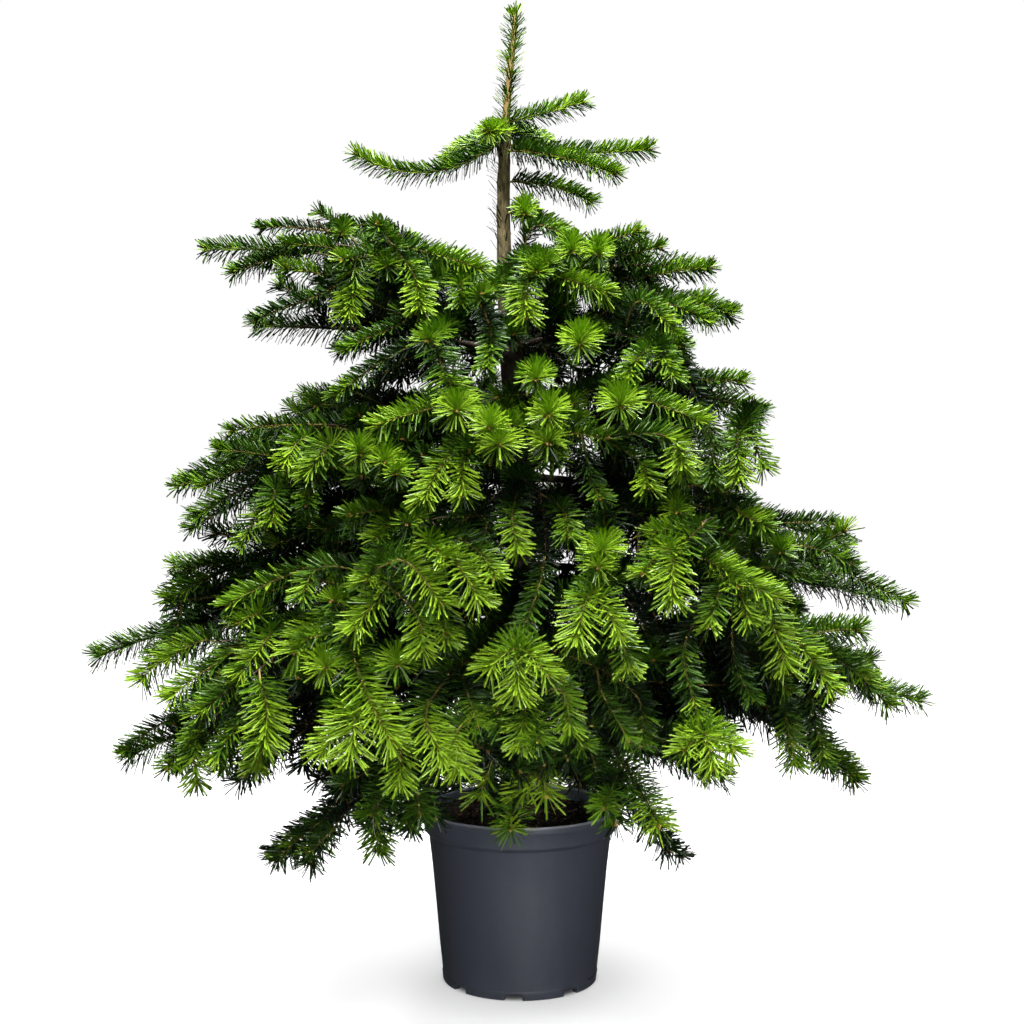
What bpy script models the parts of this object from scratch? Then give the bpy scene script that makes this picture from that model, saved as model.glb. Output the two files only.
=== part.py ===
"""A potted Nordmann fir, about 1.2 m tall: a nursery pot filled with compost, and a young tree in it.

Every solid is its own object in metres, +Z up, with the origin under the middle of the pot:
the pot, the compost, the whole trunk, the main boughs, and one mass of needled shoots for each bough.
The foliage is grown by rules from named sizes, and each mass keeps clear of all its neighbours.
"""

import math
import random
from collections import namedtuple

import bpy
from mathutils import Vector
from mathutils.bvhtree import BVHTree

CLEARANCE = 0.0003  # the gap between solids that touch on the real tree
UP = Vector((0, 0, 1))

# ---- pot and compost -------------------------------------------------------------------------
RIM_RADIUS = 0.1236  # outside of the lip: a 25 cm nursery pot
RIM_HEIGHT = 0.2200
LIP_HEIGHT = 0.0100
LIP_STEP = 0.0013  # how far the lip stands out past the collar
COLLAR_HEIGHT = 0.0215  # the stacking collar under the lip
COLLAR_CHAMFER = 0.0055
BODY_TOP_RADIUS = 0.1154
FOOT_RADIUS = 0.0973
FOOT_HEIGHT = 0.0110  # the slightly thicker band at the foot
FOOT_STEP = 0.0008
WALL = 0.0022
FLOOR_HEIGHT = 0.0060  # underside of the raised floor, inside the foot ring
FOOT_RING_INSIDE = 0.0888
FOOT_PAD_RADIUS = 0.0360  # flat pad in the middle of the underside
GROOVE_SLOPE = 0.0020
POT_SIDES = 40
NOTCHES = 8  # drainage notches through the foot ring
NOTCH_WIDTH = 0.0220
NOTCH_HEIGHT = 0.0070
FIRST_NOTCH = -95.0  # bearing in degrees
COMPOST_TOP = 0.2100
COMPOST_BUMP = 0.0040

# ---- trunk -----------------------------------------------------------------------------------
TrunkStation = namedtuple("TrunkStation", "height x y radius")
TRUNK = (
    TrunkStation(COMPOST_TOP + CLEARANCE, -0.004, 0.002, 0.0260),  # root flare on the compost
    TrunkStation(0.233, -0.003, 0.002, 0.0198),
    TrunkStation(0.448, 0.001, 0.004, 0.0180),
    TrunkStation(0.642, 0.000, 0.003, 0.0158),
    TrunkStation(0.792, -0.013, 0.000, 0.0124),
    TrunkStation(0.928, -0.020, -0.001, 0.0084),
    TrunkStation(1.058, -0.019, 0.000, 0.0068),  # the top whorl
    TrunkStation(1.076, -0.017, 0.000, 0.0036),  # foot of the leader
    TrunkStation(1.204, -0.006, 0.001, 0.0016),  # its tip
)
TRUNK_SIDES = 12
TRUNK_RING_GAP = 0.055

# ---- boughs ----------------------------------------------------------------------------------
# bearing: degrees, 0 is +X and 90 is +Y; foot: height at which the bough leaves the trunk;
# reach: how far out its tip lies; tip: the tip's height; arch: how far the middle of the bough
# stands above a straight line from foot to tip. Metres.
Bough = namedtuple("Bough", "bearing foot reach tip arch")
TOP_WHORL = (
    Bough(180, 1.050, 0.192, 1.037, -0.034),
    Bough(255, 1.056, 0.088, 1.046, 0.004),
    Bough(12, 1.070, 0.108, 1.102, -0.002),
    Bough(352, 1.044, 0.188, 1.036, -0.008),
    Bough(319, 1.036, 0.182, 0.992, 0.006),
    Bough(118, 1.052, 0.170, 1.038, 0.008),
    Bough(66, 1.060, 0.140, 1.058, 0.003),
    Bough(338, 0.997, 0.123, 0.964, 0.010),
    Bough(322, 0.960, 0.100, 0.926, 0.006),
)
SECOND_WHORL = (
    Bough(180, 0.866, 0.380, 0.915, 0.016),
    Bough(138, 0.870, 0.320, 0.880, 0.010),
    Bough(226, 0.876, 0.275, 0.888, 0.016),
    Bough(282, 0.880, 0.245, 0.880, 0.015),
    Bough(338, 0.868, 0.262, 0.882, 0.015),
    Bough(48, 0.874, 0.280, 0.864, 0.010),
)
THIRD_WHORL = (
    Bough(192, 0.788, 0.318, 0.818, 0.010),
    Bough(252, 0.814, 0.300, 0.793, 0.018),
    Bough(310, 0.792, 0.305, 0.788, 0.018),
    Bough(2, 0.808, 0.286, 0.834, 0.012),
    Bough(80, 0.786, 0.330, 0.798, 0.015),
    Bough(138, 0.804, 0.300, 0.806, 0.012),
)
FOURTH_WHORL = (
    Bough(172, 0.708, 0.435, 0.620, 0.028),
    Bough(206, 0.726, 0.415, 0.592, 0.030),
    Bough(276, 0.706, 0.365, 0.668, 0.026),
    Bough(334, 0.728, 0.328, 0.713, 0.026),
    Bough(28, 0.704, 0.350, 0.648, 0.025),
    Bough(112, 0.716, 0.390, 0.668, 0.028),
)
FIFTH_WHORL = (
    Bough(196, 0.608, 0.446, 0.490, 0.030),
    Bough(246, 0.636, 0.410, 0.538, 0.033),
    Bough(304, 0.612, 0.420, 0.528, 0.035),
    Bough(354, 0.634, 0.412, 0.546, 0.018),
    Bough(62, 0.606, 0.430, 0.528, 0.030),
    Bough(146, 0.628, 0.430, 0.538, 0.030),
)
SIXTH_WHORL = (
    Bough(182, 0.498, 0.536, 0.408, 0.030),
    Bough(222, 0.524, 0.480, 0.388, 0.040),
    Bough(272, 0.502, 0.440, 0.378, 0.040),
    Bough(326, 0.522, 0.470, 0.418, 0.035),
    Bough(18, 0.496, 0.524, 0.458, 0.030),
    Bough(100, 0.518, 0.460, 0.408, 0.035),
)
SEVENTH_WHORL = (
    Bough(199, 0.390, 0.496, 0.310, 0.030),
    Bough(248, 0.418, 0.430, 0.293, 0.035),
    Bough(290, 0.392, 0.430, 0.283, 0.035),
    Bough(328, 0.416, 0.450, 0.303, 0.035),
    Bough(358, 0.392, 0.508, 0.352, 0.030),
    Bough(58, 0.410, 0.460, 0.298, 0.035),
    Bough(138, 0.394, 0.470, 0.283, 0.035),
)
LOW_WHORL = (
    Bough(208, 0.292, 0.335, 0.190, 0.030),
    Bough(268, 0.284, 0.260, 0.244, 0.020),
    Bough(326, 0.300, 0.225, 0.184, 0.030),
    Bough(25, 0.282, 0.310, 0.222, 0.025),
    Bough(108, 0.296, 0.310, 0.208, 0.025),
)
WHORLS = (
    TOP_WHORL,
    SECOND_WHORL,
    THIRD_WHORL,
    FOURTH_WHORL,
    FIFTH_WHORL,
    SIXTH_WHORL,
    SEVENTH_WHORL,
    LOW_WHORL,
)
WHORLS_WITH_LIMBS = (6,)
LIMB_FROM_REACH = 0.450  # shorter boughs are needled from the trunk on
LINE_STEPS = 24  # pieces of a bough's centre line
LIMB_SIDES = 6
LIMB_RINGS = 5
LIMB_ROOT = 0.0034  # radius at the trunk is this plus a share of the reach
LIMB_ROOT_PER_REACH = 0.0060
LIMB_END_SHARE = 0.60  # radius where the foliage begins, as a share of the root's
BARE_SHARE = 0.34  # of a main bough's length, before its mass of foliage begins
BARE_STEM = 0.020  # a stem that leaves the trunk itself is bare this far out of the bark,
BARE_STEM_PER_REACH = 0.100  # and this much more for its reach
STEM_TO_LIMB = 0.75  # radius of such a stem, as a share of a bare limb's

# ---- needled shoots --------------------------------------------------------------------------
# A shoot is a slim brush: a core of close needles, with rings of teeth standing out of it.
NEEDLE_REACH = 0.0320  # from the twig's centre to a needle's tip, square to the twig
NEEDLE_LEAN = 0.55  # forward lean of a needle at the foot of a shoot, as a share of its reach
NEEDLE_LEAN_MORE = 0.50  # what is added to that by the shoot's tip
NEEDLE_SHORTER_AT_TIP = 0.20
NEEDLE_SHORTER_BELOW = 0.30
CORE_RADIUS = 0.0135
CORE_AT_TIP = 0.0050
BRUSH_SIDES = 6
TUFT_GAP = 0.0470  # between the rings of needle teeth
BARE_RING_GAP = 0.0800  # between the rings of a bare stretch
BUD = 0.0120
SHOOT_FOOT_RADIUS = 0.0045
SIDE_BARE = 0.0300  # the bare foot of a side shoot
NODE_GAP = 0.080  # between pairs of side shoots
PAIR_STAGGER = 0.12  # a pair's two shoots stand this share of the gap before and after its node
FIRST_NODE = 0.030
SIDE_SHARE = 0.66  # a side shoot's length, as a share of the stem left beyond it
SHORTEST_SIDE = 0.085
SPLAY = (40.0, 58.0)  # degrees between a stem and its side shoots
FAN = (8.0, 36.0)  # degrees a pair rises, or sinks, out of the level
LIFT = (-0.25, 0.20)  # how far its end turns down or up
FORWARD_BEND = 0.45  # how far its end turns towards its stem's own way
SHORTEST_STEM = 0.21  # boughs with less reach than this have no side shoots
MOST_SHOOTS = 4  # side shoots on one mass
SIDE_STEPS = 4
LEADER_REACH = 0.0200  # the leader's needles are shorter, and stand closer
LEADER_GAP = 0.0230
LEADER_BUD = 0.0150
LEADER_BARE = 0.0120
LEADER_SLEEVE = 0.0022  # thickness of the skin of needles round it
KEEP_OFF = 0.0012  # a shoot keeps this far from every other mass and limb


def surface(name, colour, roughness):
    """A plain Principled material."""
    made = bpy.data.materials.new(name)
    made.use_nodes = True
    shader = made.node_tree.nodes["Principled BSDF"]
    shader.inputs["Base Color"].default_value = (*colour, 1.0)
    shader.inputs["Roughness"].default_value = roughness
    shader.inputs["Metallic"].default_value = 0.0
    return made


def solid(name, points, faces, material, smooth=True):
    """A named object from points and faces, in its place."""
    mesh = bpy.data.meshes.new(name)
    mesh.from_pydata([tuple(p) for p in points], [], faces)
    mesh.materials.append(material)
    if smooth:
        mesh.shade_smooth()
        mesh.set_sharp_from_angle(angle=math.radians(35))
    made = bpy.data.objects.new(name, mesh)
    bpy.context.scene.collection.objects.link(made)
    return made


def combine(target, operation, cutters, solver="EXACT"):
    """Applies one Boolean on a collection of cutters to target, and removes them."""
    group = bpy.data.collections.new("cutters")
    bpy.context.scene.collection.children.link(group)
    for cutter in cutters:
        bpy.context.scene.collection.objects.unlink(cutter)
        group.objects.link(cutter)
    boolean = target.modifiers.new("boolean", "BOOLEAN")
    boolean.operation = operation
    boolean.operand_type = "COLLECTION"
    boolean.collection = group
    boolean.solver = solver
    graph = bpy.context.evaluated_depsgraph_get()
    result = bpy.data.meshes.new_from_object(target.evaluated_get(graph))
    target.modifiers.clear()
    target.data = result
    for cutter in cutters:
        bpy.data.objects.remove(cutter)
    bpy.data.collections.remove(group)
    return target


def turned(name, profile, sides, material):
    """A solid of revolution from a closed profile of (radius, height), first and last on the axis."""
    points = []
    rings = []
    for radius, height in profile:
        start = len(points)
        if radius == 0:
            points.append((0, 0, height))
            rings.append([start] * sides)
            continue
        for k in range(sides):
            turn = math.tau * k / sides
            points.append((radius * math.cos(turn), radius * math.sin(turn), height))
        rings.append(range(start, start + sides))
    faces = []
    for lower, upper in zip(rings, rings[1:]):
        for k in range(sides):
            after = (k + 1) % sides
            corners = [lower[k], lower[after], upper[after], upper[k]]
            faces.append(tuple(dict.fromkeys(corners)))
    return solid(name, points, faces, material)


# ---- pot and compost -------------------------------------------------------------------------
def body_radius(height):
    """Outside radius of the pot's tapering body at a height."""
    top = RIM_HEIGHT - LIP_HEIGHT - COLLAR_HEIGHT
    return FOOT_RADIUS + (BODY_TOP_RADIUS - FOOT_RADIUS) * height / top


def make_pot(material):
    """The pot's shell, with its lip, stacking collar, raised floor and notched foot."""
    lip_under = RIM_HEIGHT - LIP_HEIGHT
    collar_under = lip_under - COLLAR_HEIGHT
    collar_radius = RIM_RADIUS - LIP_STEP
    inside_floor = FLOOR_HEIGHT + WALL
    profile = [
        (0, 0),
        (FOOT_PAD_RADIUS, 0),
        (FOOT_PAD_RADIUS + GROOVE_SLOPE, FLOOR_HEIGHT),
        (FOOT_RING_INSIDE - GROOVE_SLOPE, FLOOR_HEIGHT),
        (FOOT_RING_INSIDE, 0),
        (FOOT_RADIUS, 0),
        (body_radius(FOOT_HEIGHT) + FOOT_STEP, FOOT_HEIGHT - FOOT_STEP),
        (body_radius(FOOT_HEIGHT), FOOT_HEIGHT),
        (BODY_TOP_RADIUS, collar_under),
        (collar_radius, collar_under + COLLAR_CHAMFER),
        (collar_radius, lip_under),
        (RIM_RADIUS, lip_under + LIP_STEP),
        (RIM_RADIUS, RIM_HEIGHT - LIP_STEP),
        (RIM_RADIUS - LIP_STEP, RIM_HEIGHT),
        (RIM_RADIUS - 2 * WALL, RIM_HEIGHT),
        (RIM_RADIUS - 2 * WALL, collar_under + COLLAR_CHAMFER),
        (BODY_TOP_RADIUS - WALL, collar_under),
        (body_radius(inside_floor) - WALL, inside_floor),
        (0, inside_floor),
    ]
    pot = turned("pot", profile, POT_SIDES, material)
    cutters = []
    for k in range(NOTCHES):
        bearing = math.radians(FIRST_NOTCH + 360 * k / NOTCHES)
        out = Vector((math.cos(bearing), math.sin(bearing), 0))
        across = Vector((-out.y, out.x, 0)) * NOTCH_WIDTH / 2
        inner = out * (FOOT_RING_INSIDE - 2 * GROOVE_SLOPE)
        outer = out * (FOOT_RADIUS + 0.010)
        below = Vector((0, 0, -0.004))
        above = Vector((0, 0, NOTCH_HEIGHT))
        corners = [inner - across, outer - across, outer + across, inner + across]
        points = [p + below for p in corners] + [p + above for p in corners]
        sides = [(i, (i + 1) % 4, (i + 1) % 4 + 4, i + 4) for i in range(4)]
        faces = [(3, 2, 1, 0), (4, 5, 6, 7), *sides]
        cutters.append(solid(f"notch_{k}", points, faces, material, smooth=False))
    return combine(pot, "DIFFERENCE", cutters)


def make_compost(material):
    """The compost that fills the pot, with a gently uneven top."""
    dice = random.Random("compost")
    floor = FLOOR_HEIGHT + WALL + CLEARANCE
    collar_under = RIM_HEIGHT - LIP_HEIGHT - COLLAR_HEIGHT
    inside_low = body_radius(floor) - WALL - CLEARANCE
    # A side of the many-sided pot lies nearer its axis than a corner, so the compost turns with it.
    inside_collar = BODY_TOP_RADIUS - WALL - CLEARANCE
    edge = RIM_RADIUS - 2 * WALL - CLEARANCE
    chamfer_top = collar_under + COLLAR_CHAMFER
    profile = [
        (0, floor),
        (inside_low, floor),
        (inside_collar, collar_under),
        (edge, chamfer_top + CLEARANCE),
        (edge, COMPOST_TOP - COMPOST_BUMP),
        (edge * 0.72, COMPOST_TOP - COMPOST_BUMP / 2),
        (edge * 0.36, COMPOST_TOP),
        (0, COMPOST_TOP),
    ]
    compost = turned("compost", profile, POT_SIDES, material)
    for vertex in compost.data.vertices:
        far = math.hypot(vertex.co.x, vertex.co.y)
        if edge * 0.5 < far < edge * 0.9 and vertex.co.z > chamfer_top:
            vertex.co.z += dice.uniform(-COMPOST_BUMP, COMPOST_BUMP) / 2
    return compost


# ---- trunk -----------------------------------------------------------------------------------
def trunk_at(height):
    """The trunk's centre and radius at a height, smoothly between its stations."""
    rows = TRUNK
    height = min(max(height, rows[0].height), rows[-1].height)
    k = max(i for i, row in enumerate(rows[:-1]) if row.height <= height)
    low, high = rows[k], rows[k + 1]
    t = (height - low.height) / (high.height - low.height)
    before = rows[max(k - 1, 0)]
    after = rows[min(k + 2, len(rows) - 1)]
    centre = []
    for axis in ("x", "y"):
        p0, p1, p2, p3 = (getattr(row, axis) for row in (before, low, high, after))
        curve = 2 * p1 + (p2 - p0) * t + (2 * p0 - 5 * p1 + 4 * p2 - p3) * t**2
        centre.append((curve + (3 * p1 - p0 - 3 * p2 + p3) * t**3) / 2)
    radius = low.radius + (high.radius - low.radius) * t
    return Vector((*centre, height)), radius


def frame_of(direction):
    """Two unit vectors square to a direction: one sideways and level, one on the upper side."""
    direction = direction.normalized()
    across = direction.cross(UP)
    if across.length < 0.2:
        across = direction.cross(Vector((0, 1, 0)))
    side = across.normalized()
    over = side.cross(direction).normalized()
    return side, over


def tube(name, rings, tip, material):
    """A closed solid through rings of points, with a flat end, or a point past the last ring."""
    sides = len(rings[0])
    points = [point for ring in rings for point in ring]
    faces = [tuple(reversed(range(sides)))]
    for start in range(0, len(points) - sides, sides):
        for k in range(sides):
            a, b = start + k, start + (k + 1) % sides
            faces.append((a, b, b + sides, a + sides))
    last = range(len(points) - sides, len(points))
    if tip is None:
        faces.append(tuple(last))
    else:
        points.append(tip)
        faces += [(last[k], last[(k + 1) % sides], len(points) - 1) for k in range(sides)]
    return solid(name, points, faces, material)


def ring_of(centre, side, over, radius, sides):
    """Points round a centre, in the plane of two unit vectors."""
    turns = [math.tau * k / sides for k in range(sides)]
    return [centre + radius * (math.cos(t) * side + math.sin(t) * over) for t in turns]


def make_trunk(name, grown, material):
    """The whole trunk from its flat cut to its tip; grown widens it, for cutting clearances."""
    heights = [row.height for row in TRUNK]
    for low, high in zip(TRUNK, TRUNK[1:]):
        steps = max(1, round((high.height - low.height) / TRUNK_RING_GAP))
        gap = (high.height - low.height) / steps
        heights += [low.height + gap * k for k in range(1, steps)]
    rings = []
    for height in sorted(heights):
        centre, radius = trunk_at(height)
        if grown and not rings:
            centre = centre - UP * grown
        # Each ring is level, so that the foot is one flat cut.
        level = (Vector((1, 0, 0)), Vector((0, 1, 0)))
        rings.append(ring_of(centre, *level, radius + grown, TRUNK_SIDES))
    tip = centre + UP * (TRUNK[-1].radius + 2 * grown)
    return tube(name, rings, tip, material)


# ---- lines that limbs and shoots follow --------------------------------------------------------
class Line:
    """A smooth line through points, read by the distance along it."""

    def __init__(self, points):
        self.points = points
        self.marks = [0.0]
        for a, b in zip(points, points[1:]):
            self.marks.append(self.marks[-1] + (b - a).length)
        self.length = self.marks[-1]

    def at(self, distance):
        """The point and the direction at a distance."""
        distance = min(max(distance, 0.0), self.length)
        k = max(i for i, mark in enumerate(self.marks[:-1]) if mark <= distance)
        a, b = self.points[k], self.points[k + 1]
        share = (distance - self.marks[k]) / (self.marks[k + 1] - self.marks[k])
        return a.lerp(b, share), (b - a).normalized()

    def part(self, start, end, steps):
        """The stretch between two distances, as a new line."""
        gap = (end - start) / steps
        return Line([self.at(start + gap * k)[0] for k in range(steps + 1)])


def bough_line(bough):
    """A bough's centre line, from the trunk's heart to its tip."""
    heart = trunk_at(bough.foot)[0]
    bearing = math.radians(bough.bearing)
    out = Vector((math.cos(bearing), math.sin(bearing), 0))
    points = []
    for k in range(LINE_STEPS + 1):
        t = k / LINE_STEPS
        lift = (bough.tip - bough.foot) * t + 4 * bough.arch * t * (1 - t)
        points.append(heart + out * bough.reach * t + UP * lift)
    return Line(points)


def side_shoots(stem, first, seed):
    """Pairs of side shoots along a stem by a seeded rule: one pair fans upward, the next one down."""
    dice = random.Random(seed)
    shoots = []
    distance = first
    pair = dice.randint(0, 1)
    while distance < stem.length - SHORTEST_SIDE:
        for side in (-1, 1):
            length = (stem.length - distance) * SIDE_SHARE * dice.uniform(0.86, 1.10)
            splay = math.radians(dice.uniform(*SPLAY))
            fan = dice.uniform(*FAN) * (-1) ** pair
            roll = math.radians(90 + side * (90 - fan))
            root = distance + side * PAIR_STAGGER * NODE_GAP
            lift = dice.uniform(*LIFT)
            shoots.append(side_line(stem, root, roll, max(length, SHORTEST_SIDE), splay, lift))
        distance += NODE_GAP * dice.uniform(0.9, 1.12)
        pair += 1
    return shoots


def side_line(stem, root, roll, length, splay, lift):
    """A side shoot's line: it leaves the stem at its splay, and bends a little towards its way."""
    start, ahead = stem.at(root)
    across, over = frame_of(ahead)
    outward = across * math.cos(roll) + over * math.sin(roll)
    way = ahead * math.cos(splay) + outward * math.sin(splay)
    points = [start]
    for k in range(SIDE_STEPS):
        turn = (k + 0.5) / SIDE_STEPS
        heading = (way + (ahead * FORWARD_BEND + UP * lift) * turn).normalized()
        points.append(points[-1] + heading * length / SIDE_STEPS)
    return Line(points)


# ---- needled shoots ----------------------------------------------------------------------------
def needled_points(
    line, bare, foot_radius, grown=0.0, end=BUD, core=CORE_RADIUS, reach=NEEDLE_REACH, gap=TUFT_GAP
):
    """Points and faces of a brush: a core whose surface rises into needle teeth, ring by ring.

    Every second corner of a ring is a needle's tip, far out and leaning forward; its four
    neighbours lie on the core. So each needle is a slim pyramid, and the whole is one closed skin.
    """
    tufts = max(2, round((line.length - bare) / gap))
    gap = (line.length - bare) / tufts
    plain = max(1, round(bare / BARE_RING_GAP))
    distances = [bare * k / plain for k in range(plain + 1)]
    first_tuft = len(distances)
    distances += [bare + gap * (k + 0.6) for k in range(tufts)]
    points, faces = [], []
    for i, distance in enumerate(distances):
        centre, ahead = line.at(distance)
        side, over = frame_of(ahead)
        share = distance / line.length
        radius = core + (CORE_AT_TIP - core) * share if i >= first_tuft else foot_radius
        for k in range(BRUSH_SIDES):
            turn = math.tau * (k + 0.5) / BRUSH_SIDES
            outward = math.cos(turn) * side + math.sin(turn) * over
            if i < first_tuft or (i + k) % 2:
                points.append(centre + outward * (radius + grown))
                continue
            out = reach * (1 - NEEDLE_SHORTER_AT_TIP * share)
            if math.sin(turn) < -0.4:
                out *= 1 - NEEDLE_SHORTER_BELOW
            lean = out * (NEEDLE_LEAN + NEEDLE_LEAN_MORE * share)
            points.append(centre + outward * (out + grown) + ahead * (lean + grown))
    for i in range(len(distances) - 1):
        for k in range(BRUSH_SIDES):
            after = (k + 1) % BRUSH_SIDES
            a, b = i * BRUSH_SIDES + k, i * BRUSH_SIDES + after
            c, d = b + BRUSH_SIDES, a + BRUSH_SIDES
            if (i + k) % 2:
                faces += [(a, b, c), (a, c, d)]
            else:
                faces += [(a, b, d), (b, c, d)]
    foot, way = line.at(0.0)
    points.append(foot - way * grown)
    tip, way = line.at(line.length)
    points.append(tip + way * (end + grown))
    last = (len(distances) - 1) * BRUSH_SIDES
    for k in range(BRUSH_SIDES):
        after = (k + 1) % BRUSH_SIDES
        faces.append((after, k, len(points) - 2))
        faces.append((last + k, last + after, len(points) - 1))
    return points, faces


class Space:
    """Who already stands where: each node's surfaces, so that a new shoot can keep off them."""

    def __init__(self):
        self.taken = []

    def add(self, owner, points, faces):
        self.taken.append((owner, BVHTree.FromPolygons([tuple(p) for p in points], faces)))

    def add_object(self, made):
        points = [v.co for v in made.data.vertices]
        self.add(made.name, points, [tuple(p.vertices) for p in made.data.polygons])

    def meets_another(self, owner, points, faces):
        """Whether this surface crosses any other node's."""
        surface_tree = BVHTree.FromPolygons([tuple(p) for p in points], faces)
        return any(other != owner and tree.overlap(surface_tree) for other, tree in self.taken)


# ---- the tree ----------------------------------------------------------------------------------
Plan = namedtuple("Plan", "name bough stem bare radius has_limb")


def limb_radius(bough):
    """A limb's radius where it leaves the trunk."""
    return LIMB_ROOT + LIMB_ROOT_PER_REACH * bough.reach


def make_limb(name, bough, line, material):
    """The bare inner stretch of a main bough, cut clear of the trunk."""
    stretch = line.part(0.0, line.length * BARE_SHARE, LIMB_RINGS - 1)
    rings = []
    for k, centre in enumerate(stretch.points):
        share = k / (LIMB_RINGS - 1)
        radius = limb_radius(bough) * (1 + (LIMB_END_SHARE - 1) * share)
        ahead = stretch.at(stretch.marks[k])[1]
        rings.append(ring_of(centre, *frame_of(ahead), radius, LIMB_SIDES))
    limb = tube(name, rings, None, material)
    return combine(limb, "DIFFERENCE", [make_trunk("trunk_room", CLEARANCE, material)])


def plan_boughs(space, bark):
    """Where each mass's stem runs; the limbs that carry some of them are made on the way."""
    plans = []
    for number, whorl in enumerate(WHORLS, 1):
        for letter, bough in zip("abcdefghi", whorl):
            line = bough_line(bough)
            name = f"whorl{number}_{letter}"
            has_limb = number in WHORLS_WITH_LIMBS and bough.reach > LIMB_FROM_REACH
            start, bare, radius = 0.0, 0.0, limb_radius(bough)
            if has_limb:
                space.add_object(make_limb(f"{name}_bough", bough, line, bark))
                start = line.length * BARE_SHARE + CLEARANCE
                radius *= LIMB_END_SHARE
            else:
                trunk_radius = trunk_at(bough.foot)[1]
                bare = trunk_radius + BARE_STEM + BARE_STEM_PER_REACH * bough.reach
                radius *= STEM_TO_LIMB
            stem = line.part(start, line.length - BUD, LINE_STEPS)
            space.add(name, *needled_points(stem, bare, radius))
            plans.append(Plan(name, bough, stem, bare, radius, has_limb))
    return plans


def place_shoots(plans, space):
    """The side shoots that each mass keeps: those nearest the trunk first, all the way round."""
    wanted = []
    for plan in plans:
        if plan.bough.reach > SHORTEST_STEM:
            rows = side_shoots(plan.stem, plan.bare + FIRST_NODE, plan.name)
            wanted += [(k, plan.name, line) for k, line in enumerate(rows)]
    kept = {plan.name: [] for plan in plans}
    for _, name, line in sorted(wanted, key=lambda row: row[:2]):
        with_room = needled_points(line, SIDE_BARE, SHOOT_FOOT_RADIUS, KEEP_OFF)
        if len(kept[name]) < MOST_SHOOTS and not space.meets_another(name, *with_room):
            kept[name].append(line)
            space.add(name, *needled_points(line, SIDE_BARE, SHOOT_FOOT_RADIUS))
    print(sum(map(len, kept.values())), "side shoots of", len(wanted), "kept clear of the rest")
    return kept


def make_mass(plan, shoots, material, bark):
    """One mass of foliage: its stem and side shoots, fused into one solid, clear of the trunk."""
    name = f"{plan.name}_needles"
    mass = solid(name, *needled_points(plan.stem, plan.bare, plan.radius), material, False)
    twigs = []
    for k, line in enumerate(shoots):
        shape = needled_points(line, SIDE_BARE, SHOOT_FOOT_RADIUS)
        twigs.append(solid(f"{name}_shoot_{k}", *shape, material, False))
    if twigs:
        combine(mass, "UNION", twigs)
    if not plan.has_limb:
        combine(mass, "DIFFERENCE", [make_trunk("trunk_room", CLEARANCE, bark)])
    return mass


def make_leader_needles(material, bark):
    """Needles all round the leader: a thin sleeve on the trunk's last stretch, and its end bud."""
    low, high = TRUNK[-2], TRUNK[-1]
    start = low.height + LEADER_BARE
    steps = 6
    rise = (high.height - start) / steps
    line = Line([trunk_at(start + rise * k)[0] for k in range(steps + 1)])
    sleeve = low.radius + LEADER_SLEEVE
    shape = needled_points(
        line, 0.0, sleeve, end=LEADER_BUD, core=sleeve, reach=LEADER_REACH, gap=LEADER_GAP
    )
    made = solid("leader_needles", *shape, material, False)
    return combine(made, "DIFFERENCE", [make_trunk("trunk_room", CLEARANCE, bark)])


def main():
    for old in list(bpy.data.objects):
        bpy.data.objects.remove(old)
    plastic = surface("pot_plastic", (0.052, 0.056, 0.064), 0.55)
    soil = surface("compost", (0.030, 0.018, 0.011), 0.95)
    bark = surface("bark", (0.16, 0.12, 0.08), 0.85)
    needles = surface("needles", (0.035, 0.11, 0.018), 0.5)
    fresh = surface("fresh_needles", (0.10, 0.25, 0.03), 0.5)
    space = Space()
    space.add_object(make_pot(plastic))
    space.add_object(make_compost(soil))
    space.add_object(make_trunk("trunk", 0.0, bark))
    plans = plan_boughs(space, bark)
    kept = place_shoots(plans, space)
    for plan in plans:
        young = plan.bough in TOP_WHORL or plan.bough in SECOND_WHORL
        make_mass(plan, kept[plan.name], fresh if young else needles, bark)
    make_leader_needles(fresh, bark)


main()
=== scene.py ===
# %% [markdown]
# # A potted Nordmann fir
# The object is a young conifer, about 1.2 m tall, in a moulded nursery pot. It is made of a pot, the
# compost in it, a trunk with bark, boughs and twigs, about 230 thousand needles, and the small buds
# at the ends of the shoots. The CAD model gives the space that each of these keeps to. This notebook
# grows most of the living parts inside that space with the rule that the CAD source uses, and goes on
# to finer twigs. Some shoots at the front are listed one by one instead.

# %% Load the frame
import math
import random
from collections import namedtuple

import bpy
import numpy as np
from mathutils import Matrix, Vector, noise


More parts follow.
